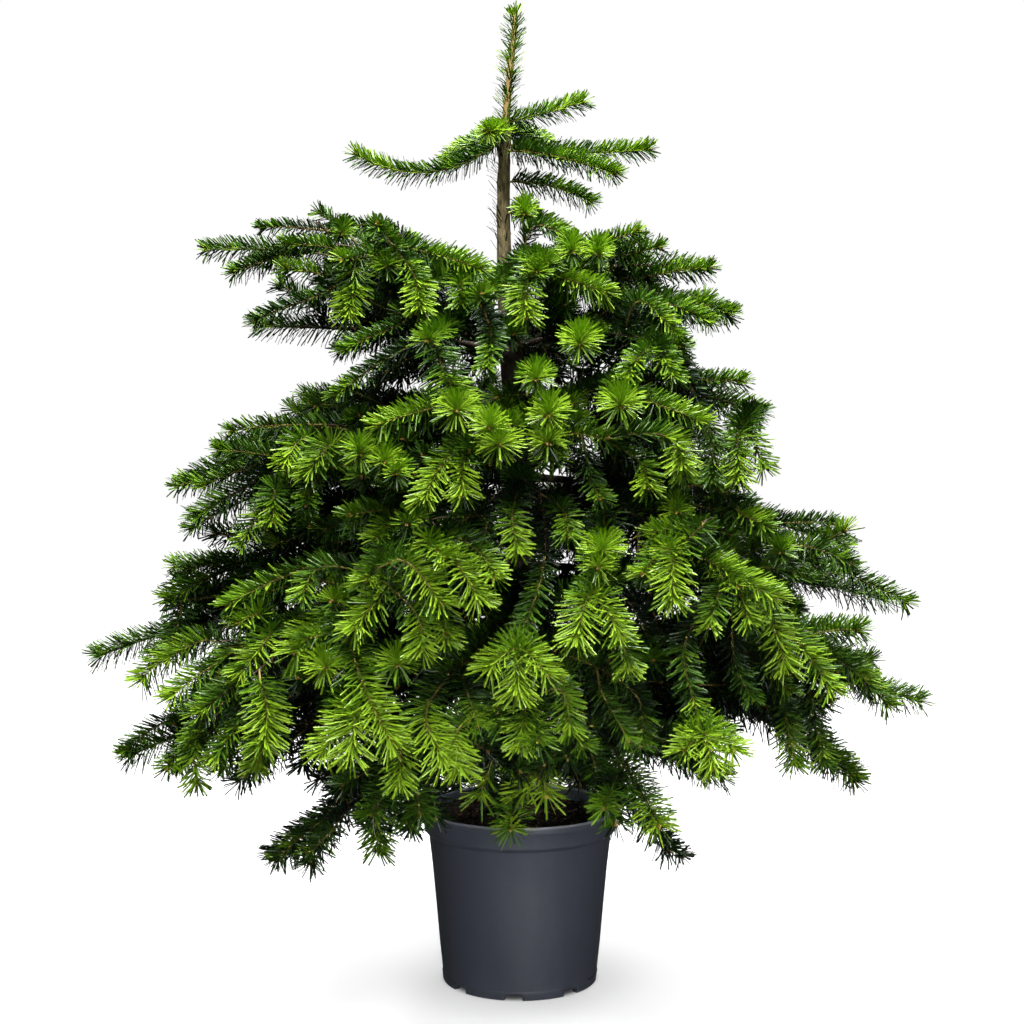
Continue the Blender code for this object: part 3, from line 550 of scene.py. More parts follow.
FACE_SHOOTS = (
    side_on(345, 277, 285, 269, 0.8, -0.10), side_on(338, 232, 262, 227, -0.2, -0.05),
    side_on(340, 250, 288, 244, 0.7, -0.09), end_on(342, 234, 0.4, -0.12),
    side_on(402, 236, 348, 225, -0.5, -0.06), end_on(387, 266, 1.1, -0.20),
    side_on(425, 252, 478, 269, 1.1, -0.20), side_on(415, 278, 420, 306, 1.1, -0.22),
    side_on(460, 283, 461, 302, 0.4, -0.22), side_on(355, 285, 347, 314, 1.1, -0.20),
    side_on(330, 290, 256, 320, -0.3, -0.18), side_on(400, 325, 344, 350, -0.3, -0.24),
    side_on(385, 360, 337, 394, -0.3, -0.26), side_on(432, 408, 380, 425, 1.1, -0.32),
    end_on(457, 411, 1.5, -0.36), side_on(330, 425, 232, 431, 0, -0.20),
    end_on(525, 214, 0.9, -0.10), side_on(535, 225, 568, 238, -0.2, -0.12),
    side_on(600, 245, 638, 232, 0.4, -0.12), side_on(620, 255, 660, 247, 0.4, -0.12),
    end_on(572, 252, 0.8, -0.22), end_on(598, 254, 0.8, -0.22), end_on(537, 272, 0.5, -0.24),
    side_on(560, 276, 603, 292, 1.1, -0.24), side_on(620, 278, 708, 268, 0.5, -0.12),
    side_on(650, 290, 728, 312, 0.4, -0.14), side_on(660, 302, 708, 321, 0.4, -0.18),
    side_on(640, 300, 678, 336, 0.4, -0.22), side_on(525, 288, 527, 316, 1.1, -0.26),
    end_on(580, 344, 1.2, -0.31), end_on(536, 380, 0.9, -0.34),
    side_on(492, 340, 486, 366, -0.4, -0.30), side_on(640, 355, 628, 376, 0.4, -0.28),
    side_on(660, 350, 674, 376, 0.4, -0.26), end_on(620, 406, 1.5, -0.35),
    side_on(645, 400, 700, 421, 1.1, -0.30), end_on(548, 416, 1.2, -0.37),
    end_on(548, 443, 1.0, -0.38), end_on(499, 445, 1.5, -0.39), end_on(490, 428, 0.9, -0.38),
    side_on(690, 377, 742, 382, 0, -0.22), side_on(265, 462, 205, 486, 0, -0.14),
    side_on(262, 466, 178, 486, 0, -0.12), side_on(260, 490, 192, 528, 0, -0.14),
    side_on(330, 445, 308, 473, 1.1, -0.26), side_on(300, 440, 285, 462, 0.8, -0.24),
    side_on(275, 490, 272, 520, 0.4, -0.24), side_on(262, 510, 242, 543, 0.4, -0.22),
    side_on(310, 490, 307, 504, 0, -0.26), end_on(360, 455, 0.8, -0.33),
    end_on(385, 462, 0.8, -0.34), end_on(396, 474, 0.4, -0.35),
    side_on(330, 558, 229, 604, 0.5, -0.28), side_on(315, 570, 302, 598, 0.4, -0.32),
    side_on(245, 560, 188, 570, -0.3, -0.10), side_on(250, 590, 174, 602, -0.3, -0.12),
    side_on(258, 614, 240, 622, 0.8, -0.28), side_on(395, 572, 354, 629, 1.2, -0.38),
    side_on(405, 560, 441, 604, 1.3, -0.41), side_on(268, 638, 240, 674, 1.1, -0.30),
    side_on(205, 640, 168, 659, 0.9, -0.20), side_on(306, 638, 296, 652, 1.6, -0.34),
    end_on(326, 668, 1.6, -0.37), side_on(345, 625, 307, 640, 0, -0.34),
    side_on(360, 638, 360, 658, 0.1, -0.36), end_on(398, 665, 1.2, -0.40),
    side_on(420, 620, 422, 648, 0.9, -0.41), side_on(440, 605, 447, 640, 0.4, -0.40),
    side_on(445, 460, 425, 498, 0.8, -0.38), side_on(462, 465, 463, 494, 0.8, -0.38),
    end_on(470, 450, 0.1, -0.36), side_on(470, 515, 420, 555, 0, -0.36),
    side_on(488, 520, 476, 555, -0.3, -0.36), side_on(512, 522, 518, 549, 0.4, -0.38),
    side_on(455, 560, 479, 599, 1.2, -0.42), side_on(430, 545, 444, 556, 0.9, -0.40),
    side_on(482, 555, 494, 577, 0.5, -0.41), side_on(541, 578, 518, 644, -0.2, -0.40),
    side_on(587, 598, 577, 639, 1.2, -0.43), side_on(598, 600, 619, 634, 0.9, -0.42),
    end_on(603, 552, 1.1, -0.39), end_on(598, 567, 0.8, -0.40),
    side_on(565, 512, 568, 534, 0.3, -0.34), end_on(668, 550, 1.2, -0.36),
    side_on(655, 560, 644, 574, 0.5, -0.37), side_on(673, 560, 673, 599, 1.2, -0.39),
    side_on(643, 465, 648, 487, 0.7, -0.33), side_on(675, 440, 682, 464, 0.8, -0.33),
    side_on(590, 480, 600, 497, -0.3, -0.33), end_on(676, 512, 0.4, -0.32),
    side_on(700, 528, 654, 531, 0.4, -0.34), side_on(515, 648, 489, 668, 1.2, -0.44),
    side_on(518, 650, 517, 691, 1.3, -0.45), side_on(525, 650, 546, 674, 1.1, -0.44),
    side_on(622, 640, 628, 667, 0.5, -0.41), side_on(737, 440, 738, 479, 0.9, -0.26),
    side_on(748, 430, 763, 466, 0.7, -0.24), side_on(670, 445, 684, 477, 0.8, -0.30),
    side_on(712, 440, 712, 479, -0.2, -0.26), side_on(685, 487, 724, 491, 0.3, -0.24),
    side_on(690, 503, 764, 520, 0, -0.24), side_on(740, 513, 764, 526, 0.8, -0.26),
    side_on(770, 522, 830, 523, -0.4, -0.08), side_on(824, 542, 845, 531, 0.9, -0.10),
    end_on(780, 553, 0.4, -0.24), side_on(795, 545, 848, 562, 0.4, -0.16),
    side_on(845, 570, 905, 602, 0.4, -0.08), side_on(692, 552, 773, 598, 1.2, -0.34),
    side_on(718, 595, 710, 624, 0.4, -0.36), side_on(738, 590, 749, 620, 0.9, -0.34),
    side_on(770, 618, 785, 666, 1.1, -0.32), side_on(790, 630, 831, 688, 1.1, -0.30),
    side_on(765, 665, 788, 690, 0, -0.30), side_on(683, 645, 702, 728, -0.2, -0.40),
    side_on(699, 735, 685, 750, 0.9, -0.42), side_on(705, 733, 714, 766, 1.2, -0.43),
    side_on(712, 733, 734, 750, 0.9, -0.42), side_on(735, 665, 751, 698, -0.3, -0.34),
    side_on(778, 695, 794, 763, 0.4, -0.28), side_on(810, 695, 825, 763, 0, -0.26),
    side_on(822, 740, 854, 780, 0.4, -0.22), side_on(842, 666, 888, 703, 0.9, -0.16),
    side_on(852, 660, 868, 688, 0.8, -0.18), side_on(172, 646, 142, 679, 0.8, -0.18),
    side_on(232, 652, 172, 697, 0.8, -0.26), side_on(175, 718, 126, 751, 0, -0.16),
    side_on(205, 715, 191, 744, 0.3, -0.28), side_on(195, 745, 196, 782, 0.4, -0.30),
    side_on(178, 753, 168, 767, 0.3, -0.24), side_on(240, 715, 216, 759, 0.3, -0.32),
    side_on(267, 710, 264, 745, 1.5, -0.36), side_on(268, 733, 257, 766, 0.9, -0.35),
    side_on(348, 712, 323, 751, 1.2, -0.41), side_on(355, 715, 351, 753, 1.5, -0.43),
    side_on(372, 705, 391, 741, 1.5, -0.43), side_on(335, 805, 278, 858, 0.4, -0.24),
    side_on(325, 838, 309, 852, 0.3, -0.26), side_on(375, 818, 378, 849, 0.8, -0.30),
    side_on(425, 718, 444, 761, 1.5, -0.44), side_on(455, 735, 460, 769, 1.1, -0.43),
    side_on(402, 740, 399, 783, 0.8, -0.42), side_on(470, 700, 477, 724, 0.5, -0.40),
    side_on(497, 705, 500, 727, 0.5, -0.40), side_on(527, 698, 521, 744, 0.9, -0.42),
    # The shoots at (538, 768), (541, 770) and (492, 766), low over the pot, get a freshness near 4:
    # painted light on shoots that the crown shades.
    side_on(562, 690, 570, 729, 0.5, -0.41), side_on(538, 768, 524, 800, 4.0, -0.22, (5, 12)),
    side_on(541, 770, 546, 808, 4.0, -0.23, (7, 15)),
    side_on(492, 766, 480, 808, 3.8, -0.22, (7, 15)), side_on(568, 755, 579, 783, 0.5, -0.24),
    side_on(600, 690, 627, 739, -0.3, -0.38), side_on(640, 700, 641, 744, -0.1, -0.36),
    side_on(420, 806, 411, 828, -0.4, -0.18), side_on(600, 596, 628, 636, -0.3, -0.26),
    side_on(628, 600, 648, 640, -0.3, -0.24), side_on(645, 596, 662, 640, -0.3, -0.22),
    side_on(640, 560, 652, 600, -0.3, -0.24), side_on(550, 436, 560, 462, -0.5, -0.12),
    side_on(640, 428, 668, 452, -0.5, -0.12), side_on(245, 622, 186, 652, -0.1, -0.14),
    side_on(255, 650, 203, 690, -0.1, -0.18), side_on(225, 676, 184, 706, 0.1, -0.18),
    side_on(272, 688, 228, 722, -0.2, -0.20), side_on(212, 728, 180, 764, 0.2, -0.22),
    side_on(238, 732, 224, 767, 0.2, -0.24), side_on(256, 742, 247, 772, 0.2, -0.26),
    side_on(210, 700, 176, 722, 0.1, -0.14), side_on(588, 774, 682, 856, -0.1, -0.10),
    side_on(440, 742, 405, 786, -0.6, 0.10), side_on(470, 738, 452, 786, -0.6, 0.14),
    side_on(495, 740, 492, 786, -0.6, 0.15), side_on(530, 740, 540, 786, -0.6, 0.15),
    side_on(440, 345, 388, 370, -0.5, -0.12), side_on(432, 362, 378, 384, -0.5, -0.09),
    side_on(402, 348, 374, 390, -0.5, -0.06), side_on(492, 350, 464, 376, -0.5, -0.12),
    side_on(545, 350, 560, 382, -0.5, -0.06), side_on(580, 352, 600, 382, -0.5, -0.09),
    side_on(610, 345, 638, 370, -0.5, -0.10), side_on(680, 430, 700, 463, -0.4, -0.14),
    side_on(540, 545, 570, 578, -0.6, -0.06), side_on(670, 590, 698, 613, -0.4, -0.12),
    side_on(432, 748, 436, 790, -0.7, 0.10), side_on(455, 745, 460, 792, -0.7, 0.12),
    side_on(482, 745, 484, 792, -0.7, 0.12), side_on(518, 745, 520, 792, -0.7, 0.12),
    side_on(548, 745, 552, 792, -0.7, 0.12), side_on(572, 745, 575, 792, -0.7, 0.12),
    side_on(598, 750, 602, 792, -0.7, 0.10), side_on(545, 430, 572, 470, -0.6, -0.05),
    side_on(560, 428, 590, 476, -0.6, -0.05), side_on(610, 590, 640, 650, -0.6, -0.12),
    side_on(655, 590, 640, 650, -0.6, -0.12), side_on(668, 600, 655, 650, -0.6, -0.1),
    side_on(630, 600, 668, 640, -0.5, -0.08), side_on(560, 742, 580, 788, -0.6, 0.13),
    side_on(585, 745, 618, 786, -0.6, 0.08), side_on(420, 738, 388, 770, -0.6, 0.05),
)
print(len(FACE_SHOOTS), "front shoots")

# %% Grow shoots to given tips


def woody_points():
    """Points on all boughs and on the shoots of two orders, with the way the wood runs there."""
    places, ways, names = [], [], []
    lines = [(stem, start, name) for name, _, stem, start in STEMS]
    lines += [(shoot.line, 0.02, shoot.mass) for shoot in SHOOTS if shoot.order < 3]
    for line, start, name in lines:
        place, way = along(line, np.arange(start, line.length - 0.015, 0.010))
        places.append(place)
        ways.append(way)
        names += [(name, line)] * len(place)
    return np.concatenate(places), np.concatenate(ways), names


def shoot_through(row, wood):
    """A shoot from the best-placed wood, through where it comes into the open, to its tip."""
    places, ways, names = wood
    run = row.tip - row.out
    gap = np.array(row.out) - places
    far = np.linalg.norm(gap, axis=1)
    lined = (gap @ np.array(run.normalized())) / np.maximum(far, 1e-6)
    cost = np.abs(far - 0.030) + 0.035 * (1 - lined) + np.where(lined < 0.0, 0.06, 0.0)
    k = int(cost.argmin())
    start, way = Vector(places[k]), Vector(ways[k])
    first, last = (row.out - start).length, run.length
    bend = ((row.out - start).normalized() + run.normalized() * 1.4).normalized()
    leave = (way * 0.5 + (row.out - start).normalized()).normalized()
    arrive = (run.normalized() - UP * 0.16).normalized()
    points = []
    for a, b, into, onto, reach, steps in (
        (start, row.out, leave, bend, first, 4),
        (row.out, row.tip, bend, arrive, last, 5),
    ):
        for step in range(steps):
            t = step / steps
            near, far_end = 2 * t**3 - 3 * t**2 + 1, 3 * t**2 - 2 * t**3
            curve = into * (t**3 - 2 * t**2 + t) + onto * (t**3 - t**2)
            points.append(a * near + b * far_end + curve * reach * 0.9)
    return Line(points + [row.tip]), names[k]


wood = woody_points()
face_shoots = []
bearers = set()
for row in FACE_SHOOTS:
    line, (mass, bearer) = shoot_through(row, wood)
    bearers.add(id(bearer))
    run = (row.tip - row.out).length
    face_shoots.append(Shoot(line, 1, mass, row.fresh * 1.5 - 0.6, run))
open_ways = [np.array(row.out.lerp(row.tip, t)) for row in FACE_SHOOTS for t in (0.2, 0.6, 1.0)]
open_ways = np.array(open_ways)

# The crown's outline from its tip leftward, in pixels across and down. A shoot of the rule that
# leaves it by more than a little is cut back. The longest side shoots stay, as others grow from them.
CROWN_OUTLINE = (
    (512, 0), (498, 60), (497, 118), (430, 150), (400, 158), (347, 142), (342, 150), (365, 178),
    (400, 190), (450, 182), (493, 165), (488, 245), (445, 238), (403, 240), (402, 215), (252, 218),
    (256, 240), (275, 256), (255, 256), (197, 235), (197, 262), (235, 292), (285, 294), (325, 280),
    (245, 325), (258, 340), (322, 322), (338, 352), (362, 362), (331, 398), (345, 405), (298, 408),
    (225, 430), (222, 444), (262, 452), (170, 478), (180, 503), (225, 505), (182, 528), (200, 550),
    (215, 552), (178, 565), (182, 580), (166, 600), (166, 616), (100, 635), (86, 655), (110, 680),
    (135, 672), (138, 690), (165, 685), (165, 700), (190, 712), (120, 748), (125, 768), (165, 750),
    (162, 775), (192, 797), (235, 772), (255, 782), (280, 768), (285, 750), (300, 765), (320, 772),
    (305, 785), (270, 855), (275, 870), (345, 845), (352, 860), (385, 862), (405, 835), (425, 830),
    (440, 1000), (600, 1000), (612, 838), (625, 822), (680, 870), (690, 860), (680, 838),
    (640, 805), (590, 752), (640, 757), (646, 745), (644, 731), (668, 738), (662, 760), (715, 792),
    (745, 770), (748, 755), (728, 738), (735, 715), (765, 705), (768, 728), (780, 760), (808, 765),
    (850, 805), (870, 790), (845, 748), (832, 680), (885, 715), (930, 712), (936, 700), (870, 640),
    (825, 620), (790, 590), (850, 602), (885, 618), (912, 605), (900, 590), (855, 555), (842, 520),
    (790, 512), (722, 485), (768, 468), (775, 455), (755, 420), (774, 405), (774, 390), (740, 372),
    (715, 350), (685, 342), (715, 335), (737, 310), (737, 300), (718, 280), (715, 258), (670, 255),
    (645, 230), (570, 238), (530, 215), (515, 200), (515, 180), (600, 220), (605, 205), (655, 165),
    (662, 148), (640, 135), (560, 130), (596, 108), (595, 90), (540, 98), (525, 115), (522, 20),
)
OUTLINE_SLACK = 7  # pixels
LONG_SIDE_SHOOT = 0.2
CUT_MARKS = (1.0, 0.75, 0.5)  # shares of a shoot's length at which it is looked at
corners = np.array(CROWN_OUTLINE, float)


def far_outside(pixels):
    """How far outside the crown's outline some pixels lie; 0 for those inside."""
    after = np.roll(corners, -1, axis=0)
    edge = after - corners
    gap = pixels[:, None] - corners
    share = np.clip((gap * edge).sum(axis=2) / (edge**2).sum(axis=1), 0, 1)
    far = np.linalg.norm(gap - share[..., None] * edge, axis=2).min(axis=1)
    passes = (corners[:, 1] > pixels[:, 1:]) != (after[:, 1] > pixels[:, 1:])
    slope = edge[:, 0] / np.where(edge[:, 1] == 0, 1e-9, edge[:, 1])
    meets = corners[:, 0] + (pixels[:, 1:] - corners[:, 1]) * slope
    inside = (passes & (meets > pixels[:, :1])).sum(axis=1) % 2 == 1
    return np.where(inside, 0, far)


def leaves_outline(shoot):
    """Whether a shoot of the rule runs out of the crown's outline."""
    if shoot.order == 1 and shoot.line.length > LONG_SIDE_SHOOT:
        return False
    marks = [shoot.line.at(shoot.line.length * share)[0] for share in CUT_MARKS]
    return far_outside(pixels_of(marks)).max() > OUTLINE_SLACK


# Boxes from a lowest to a highest corner: the bare, shaded rooms between two tiers.
HOLLOWS = (
    ((-0.115, -0.33, 0.575), (0.060, -0.03, 0.640)),
    ((0.030, -0.30, 0.590), (0.140, -0.03, 0.700)),
    ((-0.100, -0.36, 0.480), (-0.035, -0.06, 0.530)),
    ((0.000, -0.30, 0.735), (0.050, -0.03, 0.785)),
    ((-0.120, -0.30, 0.735), (-0.030, -0.03, 0.790)),
    ((0.090, -0.20, 0.160), (0.240, -0.02, 0.275)),
    ((-0.090, -0.30, 0.170), (0.060, -0.12, 0.246)),
)


FACE_NEEDLES = 1750
FRESH_STEPS = (-1.0, 0.0, 1.0, 1.6)
FACE_STRENGTH = ((0.76, 0.86, 1.02, 1.16), 1.14)  # how long by freshness, and how wide
RULE_STRENGTH = ((0.92, 0.92, 0.92, 0.92), 1.05)


NEAR_TIP = 0.014  # a tip of the rule this near to a front shoot makes room for it
VEIL_RADIUS = 0.018  # and so does one that stands before it, within this radius
VEIL_DEPTHS = (-0.01, 0.14)  # and between these depths before it


def stands_free(shoot):
    """Whether a shoot crowds no front shoot, fills no hollow and keeps inside the outline."""
    end = np.array(shoot.line.points[-1])
    gap = open_ways - end
    lined_up = np.hypot(gap[:, 0], gap[:, 2]) < VEIL_RADIUS
    before = lined_up & (gap[:, 1] > VEIL_DEPTHS[0]) & (gap[:, 1] < VEIL_DEPTHS[1])
    crowded = np.linalg.norm(gap, axis=1).min() < NEAR_TIP or before.any()
    shaded = any((end > low).all() and (end < high).all() for low, high in HOLLOWS)
    return not (crowded or shaded or leaves_outline(shoot))


free = [shoot for shoot in SHOOTS if stands_free(shoot)]
BARE = [shoot for shoot in SHOOTS if id(shoot.line) in bearers and not stands_free(shoot)]
print(len(face_shoots), "shoots to the face;", len(SHOOTS) - len(free), "others make room")
SHOOTS = free + face_shoots
for order in (1, 2, 3):
    lines = [shoot.line.length for shoot in SHOOTS if shoot.order == order]
    print("order", order, ":", len(lines), "shoots,", round(sum(lines), 1), "m of twig")

# %% [markdown]
# ## Geometry Nodes as a gardener
# Needles by the hundred thousand, and as many buds and crumbs as the eye can take, are one small
# shape repeated. Geometry Nodes do this well: a cloud of points carries the place, turn and
# size of each one, and a node tree sets the shape on every point. The result is turned into a plain
# mesh at the end, so that no modifier is left behind.

# %% Helpers for growing repeated shapes


def growth_tree(name, inputs):
    """An empty Geometry Nodes tree with named inputs: its graph and its input wires by name."""
    tree = bpy.data.node_groups.new(name, "GeometryNodeTree")
    tree.interface.new_socket("Geometry", in_out="INPUT", socket_type="NodeSocketGeometry")
    tree.interface.new_socket("Geometry", in_out="OUTPUT", socket_type="NodeSocketGeometry")
    for label, (kind, value) in inputs.items():
        socket = tree.interface.new_socket(label, in_out="INPUT", socket_type=kind)
        if value is not None:
            socket.default_value = value
    graph = Graph(tree)
    start = graph.node("NodeGroupInput")
    return graph, {label: start.of(label) for label in ["Geometry", *inputs]}


def finish_tree(graph, geometry, material):
    """The end of every tree here: real geometry in place of instances, with its material on."""
    real = graph.node("GeometryNodeRealizeInstances", {}, {"Geometry": geometry})
    coated = graph.node("GeometryNodeSetMaterial", {}, {"Geometry": real, "Material": material})
    graph.node("NodeGroupOutput", {}, {"Geometry": coated})
    return graph.tree


def attribute(graph, name, kind="FLOAT_VECTOR"):
    """A wire that reads a named attribute of the points."""
    settings = {"data_type": kind}
    return graph.node("GeometryNodeInputNamedAttribute", settings, {"Name": name})


def grown_piece(name, seedbed, tree, values):
    """Runs a tree on a seedbed mesh and keeps what grew as a plain mesh object."""
    piece = bpy.data.objects.new(name, seedbed)
    bpy.context.scene.collection.objects.link(piece)
    modifier = piece.modifiers.new("growth", "NODES")
    modifier.node_group = tree
    for item in tree.interface.items_tree:
        if item.item_type == "SOCKET" and item.in_out == "INPUT" and item.name in values:
            modifier[item.identifier] = values[item.name]
    depsgraph = bpy.context.evaluated_depsgraph_get()
    grown = bpy.data.meshes.new_from_object(piece.evaluated_get(depsgraph))
    piece.modifiers.clear()
    piece.data = grown
    for extra in [a.name for a in grown.attributes if a.name in ("turn", "size", "thickness")]:
        grown.attributes.remove(grown.attributes[extra])
    grown.name = name
    bpy.data.meshes.remove(seedbed)
    return piece


def point_cloud(name, places, turns, sizes):
    """A mesh of bare points, each with the turn and the size of what will stand on it."""
    mesh = bpy.data.meshes.new(name)
    mesh.vertices.add(len(places))
    mesh.vertices.foreach_set("co", places.astype(np.float32).ravel())
    for label, values in (("turn", turns), ("size", sizes)):
        layer = mesh.attributes.new(label, "FLOAT_VECTOR", "POINT")
        layer.data.foreach_set("vector", values.astype(np.float32).ravel())
    return mesh


def turns_for(ahead, face):
    """Euler angles that point local Y ahead and local Z as near as can be to a face direction."""
    y = unit(ahead)
    x = unit(np.cross(y, face))
    z = np.cross(x, y)
    pitch = np.arcsin(np.clip(-x[:, 2], -1, 1))
    return np.stack([np.arctan2(y[:, 2], z[:, 2]), pitch, np.arctan2(x[:, 1], x[:, 0])], axis=1)


print("helpers ready")

# %% [markdown]
# ## One needle
# A Nordmann needle is a flat strip 20 to 30 mm long and not 2 mm wide, narrow at its foot, even along
# its length, blunt at its end, with a groove along its middle. A long hexagon of four triangles has
# that outline, which keeps the whole crown near a million triangles. The tree below pulls the middle
# row of a small grid out to both ends and merges what meets there. What stays is two halves that
# fold along the groove, so each needle has a light side and a dark one.

# %% Needle tree
NEEDLE_WIDTH = 0.0016
graph, wires = growth_tree(
    "needle_growth",
    {
        "Shoulder": ("NodeSocketFloat", 0.14),
        "Fold": ("NodeSocketFloat", 0.020),
        "Material": ("NodeSocketMaterial", None),
    },
)
grid = graph.node(
    "GeometryNodeMeshGrid", {}, {"Size X": 1.0, "Size Y": 1.0, "Vertices X": 3, "Vertices Y": 4}
)
spot = graph.node("ShaderNodeSeparateXYZ", {}, {"Vector": graph.node("GeometryNodeInputPosition")})
share = spot.of("Y") + 0.5
edge = spot.of("X").absolute() * 2
near_end = share.over(0.9)
near_foot = 1 - share.over(0.1)
middle = 1 - near_end - near_foot
upper = share.over(0.5) - near_end
lower = middle - upper
run = near_end + upper * (1 - edge * wires["Shoulder"] * 0.5) + lower * edge * wires["Shoulder"]
fold = middle * edge * wires["Fold"] * -1
shaped = graph.node("ShaderNodeCombineXYZ", {}, {"X": spot.of("X") * middle, "Y": run, "Z": fold})
strip = graph.node("GeometryNodeSetPosition", {}, {"Geometry": grid, "Position": shaped})
blade = graph.node("GeometryNodeMergeByDistance", {}, {"Geometry": strip, "Distance": 0.001})
facing = graph.node("FunctionNodeEulerToRotation", {}, {"Euler": attribute(graph, "turn")})
standing = graph.node(
    "GeometryNodeInstanceOnPoints",
    {},
    {
        "Points": wires["Geometry"],
        "Instance": blade,
        "Rotation": facing,
        "Scale": attribute(graph, "size"),
    },
)
NEEDLE_TREE = finish_tree(graph, standing, wires["Material"])
print("needle tree has", len(NEEDLE_TREE.nodes), "nodes")

# %% [markdown]
# ## How needles sit on a shoot
# Needles grow all round a shoot, but they part beneath it and sweep up and forward, so a shoot seen
# from above is a thick brush and from below a comb. Those on top are shorter and stand over the
# twig. At the very tip they close round the bud and make the rosette that is seen end on. The
# newest wood, next to the tip, carries the most, and old wood near the trunk has shed its own.

# %% Place the needles of one shoot
Needles = namedtuple("Needles", "foot ahead face length width age under shoot")
CROWDING = ((0.0, 1.12), (0.10, 1.0), (0.20, 0.85), (0.34, 0.60))  # by distance from the tip
ROSETTE = 20
SPIRAL = 0.381966  # each needle stands this share of a turn on from the last
ROLLS = np.linspace(-180, 180, 181)
SIDE_HEAP = 0.25 * np.exp(-(((np.abs(ROLLS) - 72) / 34) ** 2))  # most needles stand at the sides
ROLL_SHARE = np.where(np.abs(ROLLS) < 118, 1.0 + SIDE_HEAP, 0.45)
ROLL_HEAP = np.concatenate([[0], np.cumsum(ROLL_SHARE[1:] + ROLL_SHARE[:-1])])


def needle_feet(line, start, per_metre, dice):
    """Distances of the needle feet along a line: crowded at its tip, thinner on the old wood."""
    length = line.length - start
    if length <= 0.004:
        return np.zeros(0)
    marks = np.linspace(start, line.length, 60)
    ages, crowds = np.array(CROWDING).T
    crowd = per_metre * np.interp(line.length - marks, ages, crowds)
    count = int(crowd.mean() * length)
    heap = np.concatenate([[0], np.cumsum(crowd[1:] + crowd[:-1])])
    spread = (np.arange(count) + 0.5 + dice.normal(0, 0.22, count)) / max(count, 1)
    return np.interp(spread * heap[-1], heap, marks)


def needles_on(line, start, per_metre, reach, number):
    """All needles of one shoot: where each stands, its way, its face and its size."""
    dice = np.random.default_rng(number)
    feet = needle_feet(line, start, per_metre, dice)
    run = len(feet)
    feet = np.concatenate([feet, line.length - 0.006 * dice.random(ROSETTE) ** 0.8])
    count = len(feet)
    place, ahead = along(line, feet)
    across = unit(np.cross(ahead, (0.0, 0.0, 1.0)) + (1e-6, 0.0, 0.0))
    over = np.cross(across, ahead)
    tip = np.clip((line.length - feet) / 0.030, 0, 1)  # 0 at the shoot's end, 1 on its run
    around = (np.arange(count) * SPIRAL + dice.normal(0, 0.012, count) + dice.random()) % 1.0
    around[run:] = (np.arange(ROSETTE) + dice.normal(0, 0.16, ROSETTE)) / ROSETTE % 1.0
    turn = np.interp(around * ROLL_HEAP[-1], ROLL_HEAP, ROLLS)
    under = np.abs(turn) > 112
    roll = np.radians(turn)
    radial = over * np.cos(roll)[:, None] + across * np.sin(roll)[:, None]
    lean = np.radians(np.interp(tip, [0, 1], [50, 63]) + dice.normal(0, 7.0, count))
    lean -= np.radians(13) * np.clip(np.cos(roll), 0, 1)
    lean[run:] = np.radians(dice.permutation(np.linspace(22, 76, ROSETTE)))
    way = unit(ahead * np.cos(lean)[:, None] + radial * np.sin(lean)[:, None])
    way = unit(way + np.where(under, 0.02, 0.12)[:, None] * over)
    toward = ahead * np.sin(lean)[:, None] - radial * np.cos(lean)[:, None]
    upright = (np.cos(roll) ** 2)[:, None]
    face = over * (1 - upright) + toward * upright * np.where(np.cos(roll) > 0, 1, -1)[:, None]
    face = unit(face + dice.normal(0, 0.45, (count, 3)))
    on_top = np.clip(np.cos(roll), 0, 1)
    length = reach * (1 - 0.14 * on_top) * np.interp(tip, [0, 1], [0.90, 1.0])
    length *= dice.uniform(0.80, 1.08, count)
    width = NEEDLE_WIDTH * dice.uniform(0.86, 1.12, count)
    age = line.length - feet
    return Needles(place, way, face, length, width, age, under, np.full(count, number))


sample_line = Line([Vector((0, 0, 0)), Vector((0.1, 0, 0)), Vector((0.2, 0, 0))])
print(len(needles_on(sample_line, 0.0, 2200, 0.028, 1).age), "needles on a 200 mm shoot")

# %% [markdown]
# ## Needles on every shoot
# Now every bough and every shoot gets its needles. They are shortest on the top whorl and longest low
# down, where the tree is older and its shoots are stronger. The leader stands upright, so its needles
# lie close along it.

# %% Grow all needles
PER_METRE = {0: 2400, 1: 2150, 2: 1950, 3: 1850}
REACH_BY_HEIGHT = ((0.95, 0.0235), (0.85, 0.0275), (0.50, 0.0305), (0.10, 0.0305))
TOP_WHORL = "whorl1"
LEADER_COUNT = 380
LEADER_SPAN = (1.064, 1.204)  # the heights between which the leader carries needles
STUB_COUNT = 56
STUB_SPAN = (0.905, 1.043)
POT_CLEAR = (0.123, 0.222)  # no needle ends inside this radius below this height


def reach_at(height):
    heights, reaches = np.array(REACH_BY_HEIGHT[::-1]).T
    return float(np.interp(height, heights, reaches))


parts = []
for k, (name, bough, stem, needled_from) in enumerate(STEMS):
    thick = 1.3 if name.startswith(TOP_WHORL) else 1.0
    height = stem.points[-1].z
    parts.append(needles_on(stem, needled_from, PER_METRE[0] * thick, reach_at(height), k))
for k, shoot in enumerate(SHOOTS, len(STEMS)):
    height = shoot.line.points[-1].z
    per_metre = FACE_NEEDLES if shoot.run < 1 else PER_METRE[shoot.order]
    per_metre *= 1.25 if shoot.mass[5] in "23" else 1.0
    strengths, widths = FACE_STRENGTH if shoot.run < 1 else RULE_STRENGTH
    strength = np.interp(shoot.fresh, FRESH_STEPS, strengths)
    grown = needles_on(shoot.line, 0.012, per_metre, reach_at(height) * strength, k)
    parts.append(grown._replace(width=grown.width * widths))


